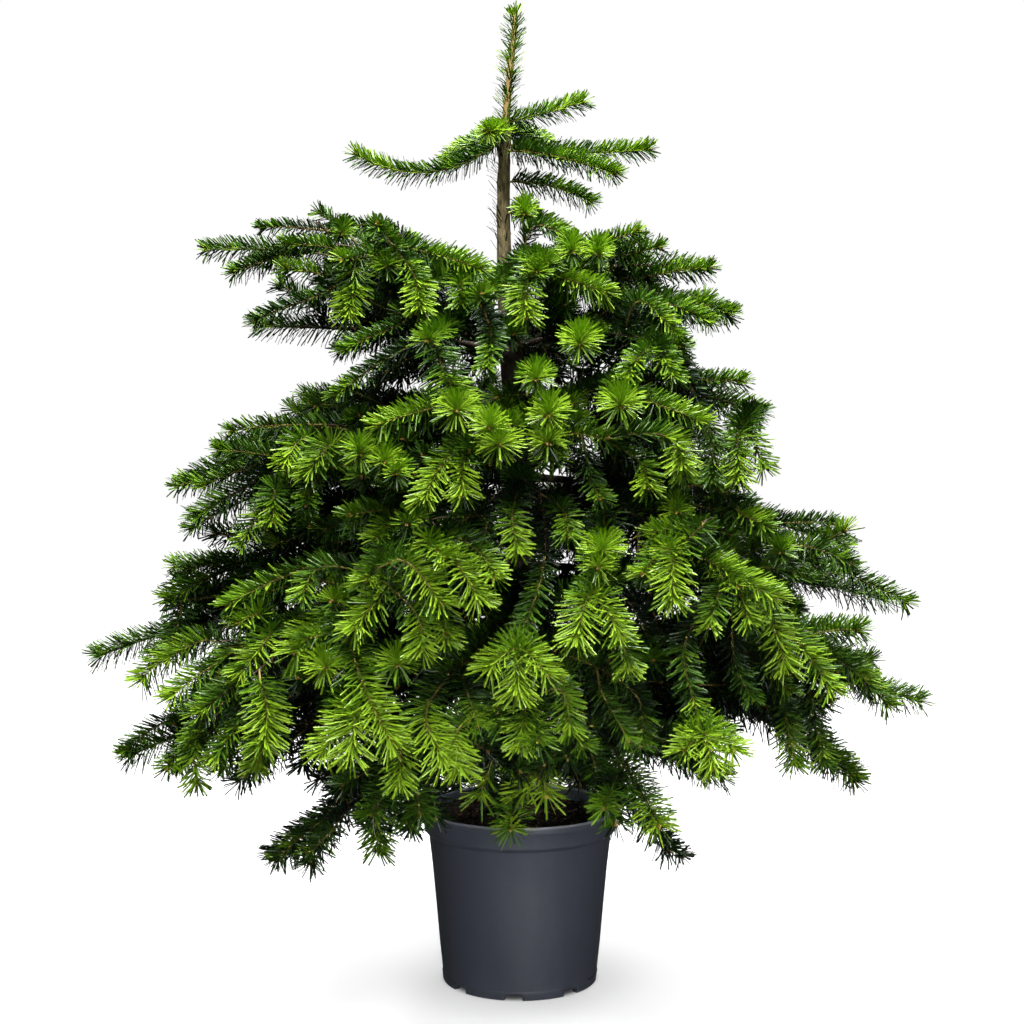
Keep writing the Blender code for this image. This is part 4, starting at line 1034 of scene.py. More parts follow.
def leader_needles(number):
    """The leader's needles: all round it, close and upright, with a tuft at its bud."""
    dice = np.random.default_rng(number)
    count = LEADER_COUNT
    low, high = LEADER_SPAN
    heights = low + (high - low) * np.sort(dice.random(count)) ** 0.92
    place = np.array([trunk_at(h)[0] for h in heights])
    turn = dice.random(count) * 2 * math.pi
    out = np.stack([np.cos(turn), np.sin(turn), np.zeros(count)], axis=1)
    near = np.clip((high - heights) / 0.02, 0, 1)
    lean = np.radians(np.interp(near, [0, 1], [34, 56]) + dice.normal(0, 8, count))
    way = out * np.sin(lean)[:, None] + np.array((0, 0, 1.0)) * np.cos(lean)[:, None]
    face = np.array((0, 0, 1.0)) * np.sin(lean)[:, None] - out * np.cos(lean)[:, None]
    face = unit(face + dice.normal(0, 0.25, (count, 3)))
    length = np.interp(near, [0, 1], [0.016, 0.0205]) * dice.uniform(0.8, 1.1, count)
    width = NEEDLE_WIDTH * dice.uniform(0.85, 1.1, count)
    age = (high - heights) * 0.5 + 0.02
    return Needles(place, way, face, length, width, age, near < 0, np.full(count, number))


def trunk_stubs(number):
    """The few short old needles that still stand on the bare upper trunk."""
    dice = np.random.default_rng(number)
    count = STUB_COUNT
    heights = dice.uniform(*STUB_SPAN, count)
    turn = np.radians(dice.normal(186, 62, count))
    out = np.stack([np.cos(turn), np.sin(turn), np.zeros(count)], axis=1)
    middle = [trunk_at(h) for h in heights]
    place = np.array([m[0] for m in middle]) + out * np.array([[m[1] * 0.9] for m in middle])
    lean = np.radians(dice.normal(48, 12, count))
    way = out * np.sin(lean)[:, None] + np.array((0, 0, 1.0)) * np.cos(lean)[:, None]
    length = dice.uniform(0.013, 0.020, count)
    width = np.full(count, NEEDLE_WIDTH)
    age = np.full(count, 0.5)
    return Needles(place, way, out, length, width, age, np.full(count, True), np.full(count, number))


parts += [leader_needles(len(parts)), trunk_stubs(len(parts) + 1)]
ALL = Needles(*(np.concatenate([getattr(p, field) for p in parts]) for field in Needles._fields))
ends = ALL.foot + ALL.ahead * ALL.length[:, None]
clear = (np.hypot(ends[:, 0], ends[:, 1]) > POT_CLEAR[0]) | (ends[:, 2] > POT_CLEAR[1])
ALL = Needles(*(field[clear] for field in ALL))
print(len(ALL.length), "needles")

# %% [markdown]
# ## Colours dealt out by spray
# New growth at the ends of the shoots is a light yellow green and the wood behind it carries full
# green needles. Each spray, the needles on one side of a short stretch of shoot, takes one plain
# colour from its age and from how much foliage stands between it and the sky, with a little luck,
# so shade is painted into the colours: sprays that other shoots shade are painted nearly black
# green, and painted shade also darkens needles under a shoot, behind a front shoot's open run and
# at the far flanks. The shade is counted in a coarse grid of how many needles there are in each
# 24 mm cell. Plain colours suit strips not two millimetres wide.

# %% How open each needle stands to the sky
CELL = 0.024
DEEP_SHADE = (70, 150)  # between these counts of needles the shade turns deep
THINNED = (0.0, 0.55)  # the share of needles left out where it does
WIDENED = (1.0, 1.5)  # and how much wider the others are
SKYWARD = ((0, 0, 1.0), (0.75, 0, 0.66), (0.45, 0.45, 0.77), (0.45, -0.45, 0.77), (0.95, 0, 0.1))
middle = ALL.foot + ALL.ahead * ALL.length[:, None] * 0.5
origin = middle.min(axis=0) - CELL
cells = np.floor((middle - origin) / CELL).astype(int)
size = cells.max(axis=0) + 2
crowd = np.zeros(size)
np.add.at(crowd, tuple(cells.T), 1.0)
outward = middle * (1.0, 1.0, 0.0)
outward = unit(outward)
sideways = np.stack([-outward[:, 1], outward[:, 0], np.zeros(len(outward))], axis=1)
shade = np.zeros(len(middle))
for out, side, up in SKYWARD:
    heading = unit(outward * out + sideways * side + np.array((0.0, 0.0, up)))
    for step in range(2, 11):
        spot = np.floor((middle + heading * CELL * step - origin) / CELL).astype(int)
        inside = ((spot >= 0) & (spot < size)).all(axis=1)
        spot = np.clip(spot, 0, size - 1)
        shade += np.where(inside, crowd[tuple(spot.T)], 0.0)
shade /= len(SKYWARD)
kept = np.random.default_rng(8).random(len(shade)) > np.interp(shade, DEEP_SHADE, THINNED)
ALL = Needles(*(field[kept] for field in ALL))
shade, outward = shade[kept], outward[kept]
ALL = ALL._replace(width=ALL.width * np.interp(shade, DEEP_SHADE, WIDENED))
print(len(shade), "needles kept; in deep shade they are fewer and wider")
print("shade by tenths", [int(x) for x in np.quantile(shade, np.linspace(0, 1, 11))])

# %% Tones and needle materials
# Six lit and shaded copies of one needle green, lightest first. They mark age, and they also carry
# the painted shade and painted light dealt out below.
TONES = (
    ("fresh", (0.215, 0.362, 0.014)),
    ("bright", (0.116, 0.234, 0.007)),
    ("leaf", (0.054, 0.133, 0.005)),
    ("full", (0.025, 0.070, 0.004)),
    ("deep", (0.011, 0.033, 0.003)),
    ("old", (0.005, 0.015, 0.003)),
)
SPRAY = 0.009  # the stretch of shoot whose needles share a colour, one side at a time
AGE_TONE = ((0.0, 0.9), (0.045, 1.5), (0.11, 2.5), (0.22, 3.4), (0.40, 4.3))
SHADE_TONE = ((0.0, -0.6), (20.0, -0.2), (45.0, 0.8), (80.0, 2.2), (130.0, 3.8))
TOP_WHORL_TONE = -0.5
TOP_WHORL_FROM = 0.97  # the height from which needles count as the top whorl's
# Painted shade: needles under a shoot, needles behind a front shoot's open run, and sprays at the far
# left and right are made darker.
UNDER_SHADE_TONE = 1.6  # needles under a shoot are darker by this
BEHIND_SHADE_TONE = ((-0.01, 0.0), (0.03, 1.6))  # and so are those behind a front shoot's open run
LUCK = 0.75
FLANK_SHADE_TONE = 0.9  # sprays at the far left and right are up to this much darker
# Freshness given to some bough stems, which lightens their needles. For whorl8_b, low over the pot,
# it is painted light where the crown shades it.
STEM_FRESH_AND_LIGHT = {"whorl8_b": 3.0, "whorl7_c": 0.6, "whorl1_b": 0.9, "whorl1_i": 1.2}
stem_fresh_and_light = [STEM_FRESH_AND_LIGHT.get(name, -0.35) for name, *_ in STEMS]
FRESH_AND_LIGHT = np.array(stem_fresh_and_light + [shoot.fresh for shoot in SHOOTS] + [0.4] * 3)
RUN = np.array([1.0] * len(STEMS) + [shoot.run for shoot in SHOOTS] + [1.0] * 3)


def spray_tones():
    """The tone number of every needle, the same for all needles of one spray."""
    quarter = np.where(ALL.under, 2, 0) + (ALL.face[:, 0] > 0)
    spray = np.stack([ALL.shoot, (ALL.age / SPRAY).astype(int), quarter], axis=1)
    _, number = np.unique(spray, axis=0, return_inverse=True)
    number = number.ravel()
    count = np.bincount(number)
    mean_shade = np.bincount(number, shade) / count
    mean_height = np.bincount(number, ALL.foot[:, 2]) / count
    mean_age = np.bincount(number, ALL.age) / count
    low = np.bincount(number, ALL.under.astype(float)) / count
    luck = np.random.default_rng(5).normal(0, LUCK, len(count))
    ages, by_age = np.array(AGE_TONE).T
    shades, by_shade = np.array(SHADE_TONE).T
    # Each spray's tone is its age plus painted shade from the foliage above, less its freshness,
    # which paints light on the front shoots.
    value = np.interp(mean_age, ages, by_age) + np.interp(mean_shade, shades, by_shade) + luck
    flank = np.abs(np.bincount(number, outward[:, 0]) / count) ** 3
    fresh = np.bincount(number, FRESH_AND_LIGHT[ALL.shoot]) / count
    at_top = mean_height > TOP_WHORL_FROM
    value += low * UNDER_SHADE_TONE + np.where(at_top, TOP_WHORL_TONE, FLANK_SHADE_TONE * flank)
    behind = mean_age - np.bincount(number, RUN[ALL.shoot]) / count
    lengths, by_length = np.array(BEHIND_SHADE_TONE).T
    value += np.interp(behind, lengths, by_length) - fresh
    return np.clip(np.round(value), 0, len(TONES) - 1).astype(int)[number]


def needle_material(name, colour):
    made, _, shader = new_material(f"needle_{name}")
    shader.inputs["Base Color"].default_value = (*colour, 1.0)
    shader.inputs["Roughness"].default_value = 0.42
    shader.inputs["Specular IOR Level"].default_value = 0.36
    return made


NEEDLE_MATERIALS = [needle_material(name, colour) for name, colour in TONES]
tone = spray_tones()
print({name: int((tone == k).sum()) for k, (name, _) in enumerate(TONES)})

# %% Turn the needles into pieces
MOST_NEEDLES = 48000
FOLIAGE = []
for k, (tone_name, _) in enumerate(TONES):
    chosen = np.flatnonzero(tone == k)
    for j, batch in enumerate(np.array_split(chosen, max(1, -(-len(chosen) // MOST_NEEDLES)))):
        sizes = np.stack([ALL.width[batch], ALL.length[batch], ALL.length[batch]], axis=1)
        turns = turns_for(ALL.ahead[batch], ALL.face[batch])
        cloud = point_cloud("cloud", ALL.foot[batch], turns, sizes)
        piece = grown_piece(
            f"needles_{tone_name}_{j + 1}", cloud, NEEDLE_TREE, {"Material": NEEDLE_MATERIALS[k]}
        )
        FOLIAGE.append(piece)
        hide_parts(*MASS_NODES)
        "fresh_needles" if k < 2 else "needles"
        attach(piece, "root")
print({p.name: sum(len(f.vertices) - 2 for f in p.data.polygons) for p in FOLIAGE})

# %% [markdown]
# ## Twigs
# Under the needles every shoot is a thin woody twig: tan to orange on this year's wood, grey brown
# on what is older. A line with a thickness at each point is all that a twig needs, and Curve to
# Mesh gives it a skin of a few sides.

# %% Twig tree
graph, wires = growth_tree(
    "twig_skin",
    {"Sides": ("NodeSocketInt", 5), "Material": ("NodeSocketMaterial", None)},
)
curves = graph.node("GeometryNodeMeshToCurve", {}, {"Mesh": wires["Geometry"]})
round_edge = {"Resolution": wires["Sides"], "Radius": 1.0}
ring = graph.node("GeometryNodeCurvePrimitiveCircle", {}, round_edge)
skin = graph.node(
    "GeometryNodeCurveToMesh",
    {},
    {
        "Curve": curves,
        "Profile Curve": ring,
        "Scale": attribute(graph, "thickness", "FLOAT"),
        "Fill Caps": True,
    },
)
TWIG_TREE = finish_tree(graph, skin, wires["Material"])


def line_mesh(name, lines):
    """A mesh of bare lines; each line is a list of points and a list of thicknesses."""
    points = np.concatenate([np.array(p) for p, _ in lines])
    radii = np.concatenate([np.array(r) for _, r in lines])
    edges = []
    first = 0
    for path, _ in lines:
        edges += [(first + k, first + k + 1) for k in range(len(path) - 1)]
        first += len(path)
    mesh = bpy.data.meshes.new(name)
    mesh.from_pydata(points.tolist(), edges, [])
    layer = mesh.attributes.new("thickness", "FLOAT", "POINT")
    layer.data.foreach_set("value", radii.astype(np.float32))
    return mesh


print("twig tree has", len(TWIG_TREE.nodes), "nodes")

# %% Split the shoots into young and old wood
YOUNG_WOOD = 0.110
TWIG_STEP = 0.012


def twig_radius(line, distance):
    """A shoot's radius at a distance: thicker on a longer shoot, thin at its end."""
    return 0.0009 + 0.0042 * (line.length - distance)


def wood_of(line, start, end, seed):
    """The points and thicknesses of a stretch of twig, its thickness a little uneven."""
    dice = np.random.default_rng(seed)
    count = max(2, int((end - start) / TWIG_STEP) + 1)
    distances = np.linspace(start, end, count)
    place, _ = along(line, distances)
    radii = twig_radius(line, distances) * dice.uniform(0.86, 1.16, count)
    return place, radii


young, old = [], []
for k, shoot in enumerate(SHOOTS):
    turn = max(0.0, shoot.line.length - YOUNG_WOOD)
    young.append(wood_of(shoot.line, turn, shoot.line.length, k))
    if turn > 0.004:
        old.append(wood_of(shoot.line, 0.0, turn, k))
for shoot in BARE:
    old.append(wood_of(shoot.line, 0.0, shoot.line.length, len(old)))
for name, bough, stem, _ in STEMS:
    if name.startswith("whorl1"):
        young.append(wood_of(stem, 0.0, stem.length, len(young)))
print(len(young), "young stretches and", len(old), "old ones")


def wood_material(name, colour, roughness):
    made, _, shader = new_material(name)
    shader.inputs["Base Color"].default_value = (*colour, 1.0)
    shader.inputs["Roughness"].default_value = roughness
    return made


TWIG_YOUNG = wood_material("twig_young", (0.280, 0.200, 0.050), 0.66)
TWIG_OLD = wood_material("twig_old", (0.085, 0.052, 0.028), 0.80)
for name, lines, sides, material in (
    ("twigs_young", young, 5, TWIG_YOUNG),
    ("twigs_old", old, 6, TWIG_OLD),
):
    mesh = line_mesh("lines", lines)
    piece = grown_piece(name, mesh, TWIG_TREE, {"Sides": sides, "Material": material})
    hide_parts(*MASS_NODES)
    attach(piece, "root")
    print(name, len(piece.data.polygons), "faces")

# %% [markdown]
# ## Buds
# Each shoot ends in one pointed bud with two beside it, resin brown and glossy. They are the pale
# dots at the heart of every rosette. Twenty triangles each, pulled to a point, will do.

# %% Grow the buds
graph, wires = growth_tree("bud_growth", {"Material": ("NodeSocketMaterial", None)})
ball = graph.node("GeometryNodeMeshIcoSphere", {}, {"Radius": 1.0, "Subdivisions": 1})
spot = graph.node("ShaderNodeSeparateXYZ", {}, {"Vector": graph.node("GeometryNodeInputPosition")})
taper = 1 - (spot.of("Y") + 1) * 0.28
bud_shape = graph.node(
    "ShaderNodeCombineXYZ",
    {},
    {"X": spot.of("X") * taper, "Y": spot.of("Y") * 1.6 + 1.0, "Z": spot.of("Z") * taper},
)
bud = graph.node("GeometryNodeSetPosition", {}, {"Geometry": ball, "Position": bud_shape})
facing = graph.node("FunctionNodeEulerToRotation", {}, {"Euler": attribute(graph, "turn")})
buds = graph.node(
    "GeometryNodeInstanceOnPoints",
    {},
    {
        "Points": wires["Geometry"],
        "Instance": bud,
        "Rotation": facing,
        "Scale": attribute(graph, "size"),
    },
)
BUD_TREE = finish_tree(graph, buds, wires["Material"])
places, ways, sizes = [], [], []
dice = np.random.default_rng(71)
ended = [shoot.line for shoot in SHOOTS] + [stem for _, _, stem, _ in STEMS]
for line in ended:
    place, ahead = along(line, np.array([line.length]))
    for k in range(3):
        sideways = dice.normal(0, 0.75 if k else 0.1, 3)
        places.append(place[0] + sideways * 0.0016)
        ways.append(ahead[0] + sideways * 0.5)
        sizes.append([0.0016 if k else 0.0022] * 3)
ways = unit(np.array(ways))
turns = turns_for(ways, np.tile((0.1, 0.2, 1.0), (len(ways), 1)))
cloud = point_cloud("cloud", np.array(places), turns, np.array(sizes))
BUD_BROWN = wood_material("bud_resin", (0.480, 0.270, 0.075), 0.42)
buds_piece = grown_piece("buds", cloud, BUD_TREE, {"Material": BUD_BROWN})
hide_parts(*MASS_NODES)
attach(buds_piece, "root")
print(len(places), "buds,", len(buds_piece.data.polygons), "triangles")

# %% [markdown]
# ## Trunk and boughs
# The trunk is grey tan where it is young and dark brown below, with a ring of swellings where each
# whorl left it, shallow grooves along it, and the small scars of shed needles. A tube with the relief
# in its mesh shows all of these in outline too, so the skin is worked out point by point: a radius
# for every height and bearing.

# %% Skins of wood


def skin_mesh(name, rings, material=None):
    """A closed skin over rings of points (rings, sides, 3), with a flat cap at each end."""
    count, sides = rings.shape[:2]
    points = [tuple(p) for p in rings.reshape(-1, 3)]
    faces = []
    for i in range(count - 1):
        for j in range(sides):
            k = (j + 1) % sides
            faces.append((i * sides + j, i * sides + k, (i + 1) * sides + k, (i + 1) * sides + j))
    first, last = len(points), len(points) + 1
    points += [tuple(rings[0].mean(axis=0)), tuple(rings[-1].mean(axis=0))]
    top = (count - 1) * sides
    for j in range(sides):
        k = (j + 1) % sides
        faces += [(first, k, j), (last, top + j, top + k)]
    mesh = bpy.data.meshes.new(name)
    mesh.from_pydata(points, [], faces)
    mesh.shade_smooth()
    if material is not None:
        mesh.materials.append(material)
    return mesh


def joined(name, meshes):
    """One object from several meshes of one material."""
    points = np.concatenate([read_points(mesh) for mesh in meshes])
    faces = []
    first = 0
    for mesh in meshes:
        faces += [[first + v for v in p.vertices] for p in mesh.polygons]
        first += len(mesh.vertices)
    whole = bpy.data.meshes.new(name)
    whole.from_pydata(points.tolist(), [], faces)
    whole.shade_smooth()
    whole.materials.append(meshes[0].materials[0])
    for mesh in meshes:
        bpy.data.meshes.remove(mesh)
    return placed(name, whole)


def read_points(mesh):
    flat = np.empty(len(mesh.vertices) * 3, dtype=np.float32)
    mesh.vertices.foreach_get("co", flat)
    return flat.reshape(-1, 3)


def placed(name, mesh):
    piece = bpy.data.objects.new(name, mesh)
    bpy.context.scene.collection.objects.link(piece)
    return piece


def rings_along(places, ways, radius_of, sides):
    """Rings of points round a path: radius_of(ring, bearing in degrees) gives each radius."""
    rings = np.zeros((len(places), sides, 3))
    across = unit(np.cross(ways, (0.0, 1.0, 0.0)))
    for i, (place, way) in enumerate(zip(places, ways)):
        x = across[i]
        y = np.cross(way, x)
        for j in range(sides):
            turn = 2 * math.pi * j / sides
            out = x * math.cos(turn) + y * math.sin(turn)
            rings[i, j] = place + out * radius_of(i, j)
    return rings


print("skins ready")

# %% [markdown]
# ## Bark
# Bark is a pattern of three sizes: blotches a few centimetres long, streaks that follow the trunk,
# and grains. Each is a noise on Object coordinates, stretched by a Mapping node, and their sum picks
# a colour between brown and grey tan. Height mixes in the darker brown of the lower trunk.

# %% Bark material
BARK, graph, shader = new_material("fir_bark")
spot = graph.node("ShaderNodeTexCoord", {}, {}, "Object")


def stretched_noise(graph, spot, scale, detail=3.0, roughness=0.6):
    """Noise on Object coordinates, stretched by a scale for each axis."""
    mapped = graph.node("ShaderNodeMapping", {}, {"Vector": spot, "Scale": scale})
    sockets = {"Vector": mapped, "Scale": 1.0, "Detail": detail, "Roughness": roughness}
    return graph.node("ShaderNodeTexNoise", {}, sockets)


streaks = stretched_noise(graph, spot, (420, 420, 90))
blotches = stretched_noise(graph, spot, (60, 60, 34))
grains = stretched_noise(graph, spot, (900, 900, 700))
tone = streaks * 0.5 + blotches * 0.38 + grains * 0.22 - 0.02
upper_bark = graph.node(
    "ShaderNodeValToRGB",
    {
        "stops": [
            (0.36, (0.030, 0.022, 0.009)),
            (0.48, (0.110, 0.084, 0.034)),
            (0.58, (0.230, 0.180, 0.080)),
            (0.70, (0.480, 0.410, 0.250)),
        ]
    },
    {"Fac": tone},
)
lower_bark = graph.node(
    "ShaderNodeValToRGB",
    {
        "stops": [
            (0.36, (0.014, 0.010, 0.007)),
            (0.52, (0.052, 0.034, 0.021)),
            (0.66, (0.110, 0.072, 0.044)),
            (0.80, (0.170, 0.120, 0.078)),
        ]
    },
    {"Fac": tone},
)
height = graph.node("ShaderNodeSeparateXYZ", {}, {"Vector": spot}).of("Z")
rise = graph.node(
    "ShaderNodeMapRange", {}, {"Value": height, "From Min": 0.81, "From Max": 0.94}
)
colour = graph.node(
    "ShaderNodeMix",
    {"data_type": "RGBA"},
    {"Factor": rise, 6: lower_bark, 7: upper_bark},
    2,
)
shoot_rise = graph.node(
    "ShaderNodeMapRange", {}, {"Value": height, "From Min": 1.060, "From Max": 1.085}
)
colour = graph.node(
    "ShaderNodeMix",
    {"data_type": "RGBA"},
    {"Factor": shoot_rise, 6: colour, 7: (0.400, 0.270, 0.100, 1)},
    2,
)
bump = graph.node(
    "ShaderNodeBump", {}, {"Strength": 0.55, "Distance": 0.0012, "Height": streaks + grains * 0.6}
)
graph.feed(shader.inputs["Base Color"], colour)
graph.feed(shader.inputs["Roughness"], 0.92 - tone * 0.25)
graph.feed(shader.inputs["Normal"], bump)
print("bark has", len(BARK.node_tree.nodes), "nodes")

# %% [markdown]
# ## The trunk's skin
# Its radius is the CAD trunk's, with a collar at each whorl, long grooves and small scars added. The
# scars lie on a spiral, as the needles once did.

# %% Trunk
TRUNK_SIDES = 40
TRUNK_STEP = 0.0028
heights = np.arange(TRUNK[0].height, TRUNK[-1].height, TRUNK_STEP)
feet = [(bough.foot, math.radians(bough.bearing), bough.reach) for w in WHORLS for bough in w]
scars = [(0.808 + 0.0042 * k, math.radians(137.5 * k)) for k in range(64)]


def trunk_radius(i, j):
    height = heights[i]
    turn = 2 * math.pi * j / TRUNK_SIDES
    radius = trunk_at(height)[1] + 0.0012 * min(max((height - 1.068) / 0.01, 0.0), 1.0)
    x, y = math.cos(turn), math.sin(turn)
    groove = noise.noise(Vector((x * 3.1, y * 3.1, height * 22)))
    grain = noise.noise(Vector((x * 9, y * 9, height * 120)))
    relief = 0.055 * groove + 0.030 * grain
    for foot, bearing, reach in feet:
        gap = abs(height - foot)
        if gap < 0.022:
            facing = max(0.0, math.cos(turn - bearing)) ** 3
            relief += 0.34 * facing * math.exp(-((gap / 0.0085) ** 2)) * min(1, 0.4 + reach)
    for scar_height, bearing in scars:
        if abs(height - scar_height) < 0.003:
            near = math.exp(-(((height - scar_height) / 0.0014) ** 2))
            relief += 0.10 * near * max(0.0, math.cos(turn - bearing)) ** 30
    if height < 0.248:
        relief += 0.10 * math.cos(3 * turn + 0.6) * (0.248 - height) / 0.04
    return radius * (1 + relief)


centres = np.array([trunk_at(h)[0] for h in heights])
ways = unit(np.gradient(centres, axis=0))
ways = np.where(ways[:, 2:] < 0, -ways, ways)
trunk_rings = rings_along(centres, ways, trunk_radius, TRUNK_SIDES)
trunk_piece = placed("trunk_bark", skin_mesh("trunk_bark", trunk_rings, BARK))
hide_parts("trunk")
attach(trunk_piece, "root")
print("trunk", len(trunk_piece.data.polygons), "faces")

# %% [markdown]
# ## The boughs
# Each bough is one tapering limb from the trunk to its last bud, with a collar where it leaves the
# trunk and faint knuckles at even gaps along it.

# %% Boughs
BOUGH_SIDES = 10
BOUGH_STEP = 0.006


def bough_radius(reach, share):
    """A bough's radius at a share of its length: stout at its foot, thin at its bud."""
    foot = 0.0026 + 0.0052 * reach
    return 0.0014 + (foot - 0.0014) * (1 - share) ** 1.1


skins = []
for number, (name, bough, stem, needled_from) in enumerate(STEMS):
    if name.startswith(TOP_WHORL):
        continue
    distances = np.arange(0.004, stem.length, BOUGH_STEP)
    places, ways = along(stem, distances)
    shares = distances / stem.length
    knuckle = 1 + 0.10 * np.sin(distances * 2 * math.pi / 0.040) ** 6
    collar = 1 + 0.55 * np.exp(-(((distances - trunk_at(bough.foot)[1]) / 0.008) ** 2))

    def radius_at(i, j, number=number):
        rough = noise.noise(Vector((i * 0.9, j * 1.7, number * 3.0)))
        return bough_radius(bough.reach, shares[i]) * knuckle[i] * collar[i] * (1 + 0.10 * rough)

    skins.append(skin_mesh("bough", rings_along(places, ways, radius_at, BOUGH_SIDES), BARK))
boughs_piece = joined("bough_bark", skins)
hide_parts(*BOUGH_NODES, *MASS_NODES)
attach(boughs_piece, "root")
print("boughs", len(boughs_piece.data.polygons), "faces")

# %% [markdown]
# ## The pot
# A nursery pot is injection moulded in dark plastic: a rolled lip, a collar under it, a plain tapered
# wall and a foot band with notches that let water out. It is turned round one axis, so its wall is
# one outline carried round by the degree. The notches are cut in the same pass: at their bearings
# the outline's lowest points are simply higher.

# %% Pot wall
RIM_HEIGHT = 0.2200
LIP_UNDER = 0.2100
COLLAR_UNDER = 0.1885
FOOT_RADIUS = 0.0973
NOTCH_HEIGHT = 0.0070
NOTCH_WIDTH = 0.0220
NOTCHES = 8
FIRST_NOTCH = -95.0
FOOT_INSIDE = 0.0888
FLOOR_UNDER = 0.0036
FLOOR_HEIGHT = 0.0060
# Radius, height, and whether the point belongs to the foot's edge that the notches lift.
POT_OUTLINE = (
    (0.0300, FLOOR_UNDER, 0),
    (FOOT_INSIDE - 0.0030, FLOOR_UNDER, 0),
    (FOOT_INSIDE, FLOOR_UNDER - 0.0006, 1),
    (FOOT_INSIDE + 0.0004, 0.0006, 1),
    (FOOT_INSIDE + 0.0010, 0.0000, 1),
    (FOOT_RADIUS - 0.0010, 0.0000, 1),
    (FOOT_RADIUS - 0.0003, 0.0003, 1),
    (FOOT_RADIUS, 0.0010, 1),
    (FOOT_RADIUS + 0.0009, 0.0100, 0),
    (FOOT_RADIUS + 0.0008, 0.0108, 0),
    (FOOT_RADIUS + 0.0001, 0.0113, 0),
    (FOOT_RADIUS + 0.0002, 0.0120, 0),
    (0.1013, 0.0480, 0),
    (0.1054, 0.0960, 0),
    (0.1097, 0.1430, 0),
    (0.1146, COLLAR_UNDER - 0.0024, 0),
    (0.1151, COLLAR_UNDER - 0.0008, 0),
    (0.1160, COLLAR_UNDER + 0.0004, 0),
    (0.1190, COLLAR_UNDER + 0.0022, 0),
    (0.1201, COLLAR_UNDER + 0.0034, 0),
    (0.1205, COLLAR_UNDER + 0.0052, 0),
    (0.1214, LIP_UNDER - 0.0012, 0),
    (0.1218, LIP_UNDER - 0.0004, 0),
    (0.1229, LIP_UNDER + 0.0002, 0),
    (0.1235, LIP_UNDER + 0.0012, 0),
    (0.1236, LIP_UNDER + 0.0024, 0),
    (0.1236, RIM_HEIGHT - 0.0026, 0),
    (0.1234, RIM_HEIGHT - 0.0012, 0),
    (0.1228, RIM_HEIGHT - 0.0003, 0),
    (0.1218, RIM_HEIGHT, 0),
    (0.1206, RIM_HEIGHT - 0.0002, 0),
    (0.1196, RIM_HEIGHT - 0.0010, 0),
    (0.1192, RIM_HEIGHT - 0.0024, 0),
    (0.1190, LIP_UNDER - 0.0010, 0),
    (0.1184, COLLAR_UNDER + 0.0056, 0),
    (0.1130, COLLAR_UNDER - 0.0020, 0),
    (0.0958, FLOOR_HEIGHT + 0.0030, 0),
    (0.0928, FLOOR_HEIGHT, 0),
    (0.0300, FLOOR_HEIGHT, 0),
)


def pot_bearings():
    """Bearings round the pot: every two degrees, and a close pair at each side of a notch."""
    half = math.degrees(NOTCH_WIDTH / 2 / FOOT_RADIUS)
    edges = []
    for k in range(NOTCHES):
        middle = (FIRST_NOTCH + k * 360 / NOTCHES) % 360
        for side in (-half, half):
            edges += [(middle + side - 0.12) % 360, (middle + side + 0.12) % 360]
    even = [a for a in np.arange(0, 360, 2.0) if min(abs(a - e) for e in edges) > 0.6]
    return sorted(even + edges), half


def notch_lift(bearing, half):
    """How far the foot's edge is lifted at a bearing."""
    gap = (bearing - FIRST_NOTCH) % (360 / NOTCHES)
    gap = min(gap, 360 / NOTCHES - gap)
    return NOTCH_HEIGHT if gap < half else 0.0


bearings, half = pot_bearings()
rings = np.zeros((len(POT_OUTLINE), len(bearings), 3))
for j, bearing in enumerate(bearings):
    lift = notch_lift(bearing, half)
    turn = math.radians(bearing)
    for i, (radius, height, at_edge) in enumerate(POT_OUTLINE):
        if at_edge and lift:
            height = max(height, lift if radius > FOOT_INSIDE + 0.0002 else FLOOR_UNDER)
        rings[i, j] = (radius * math.cos(turn), radius * math.sin(turn), height)
print("pot outline of", len(POT_OUTLINE), "points at", len(bearings), "bearings")

# %% [markdown]
# ## Moulded plastic
# Under a soft light this plastic is a matt blue charcoal with a fine moulded grain. Handling leaves
# faint upright streaks and a little dust in the corner above the foot. The top of the lip carries a
# painted highlight, and painted shade makes the hollow under the pot's floor and inside its foot
# nearly black. Noises on Object coordinates vary its colour and its roughness by a few percent.

# %% Pot material
POT_PLASTIC, graph, shader = new_material("moulded_plastic")
spot = graph.node("ShaderNodeTexCoord", {}, {}, "Object")
flow = stretched_noise(graph, spot, (26, 26, 3.5), 3.0, 0.5)
dust = stretched_noise(graph, spot, (95, 95, 60), 5.0, 0.65)
grain = stretched_noise(graph, spot, (2400, 2400, 2400), 2.0, 0.5)
scuff = stretched_noise(graph, spot, (160, 160, 14), 4.0, 0.7)
mark = graph.node(
    "ShaderNodeMapRange", {}, {"Value": scuff, "From Min": 0.60, "From Max": 0.76, "To Max": 0.5}
)
height = graph.node("ShaderNodeSeparateXYZ", {}, {"Vector": spot}).of("Z")
low = graph.node(
    "ShaderNodeMapRange", {}, {"Value": height, "From Min": 0.055, "From Max": 0.0, "To Max": 0.5}
)
pale = flow * 0.5 + dust * 0.30 + mark * 0.16 + low * dust * 0.35 - 0.10
colour = graph.node(
    "ShaderNodeValToRGB",
    {
        "stops": [
            (0.10, (0.037, 0.042, 0.058)),
            (0.35, (0.046, 0.052, 0.071)),
            (0.70, (0.070, 0.078, 0.098)),
        ]
    },
    {"Fac": pale},
)
from_axis = graph.node(
    "ShaderNodeVectorMath",
    {"operation": "LENGTH"},
    {0: graph.node("ShaderNodeVectorMath", {"operation": "MULTIPLY"}, {0: spot, 1: (1, 1, 0)})},
    "Value",
)
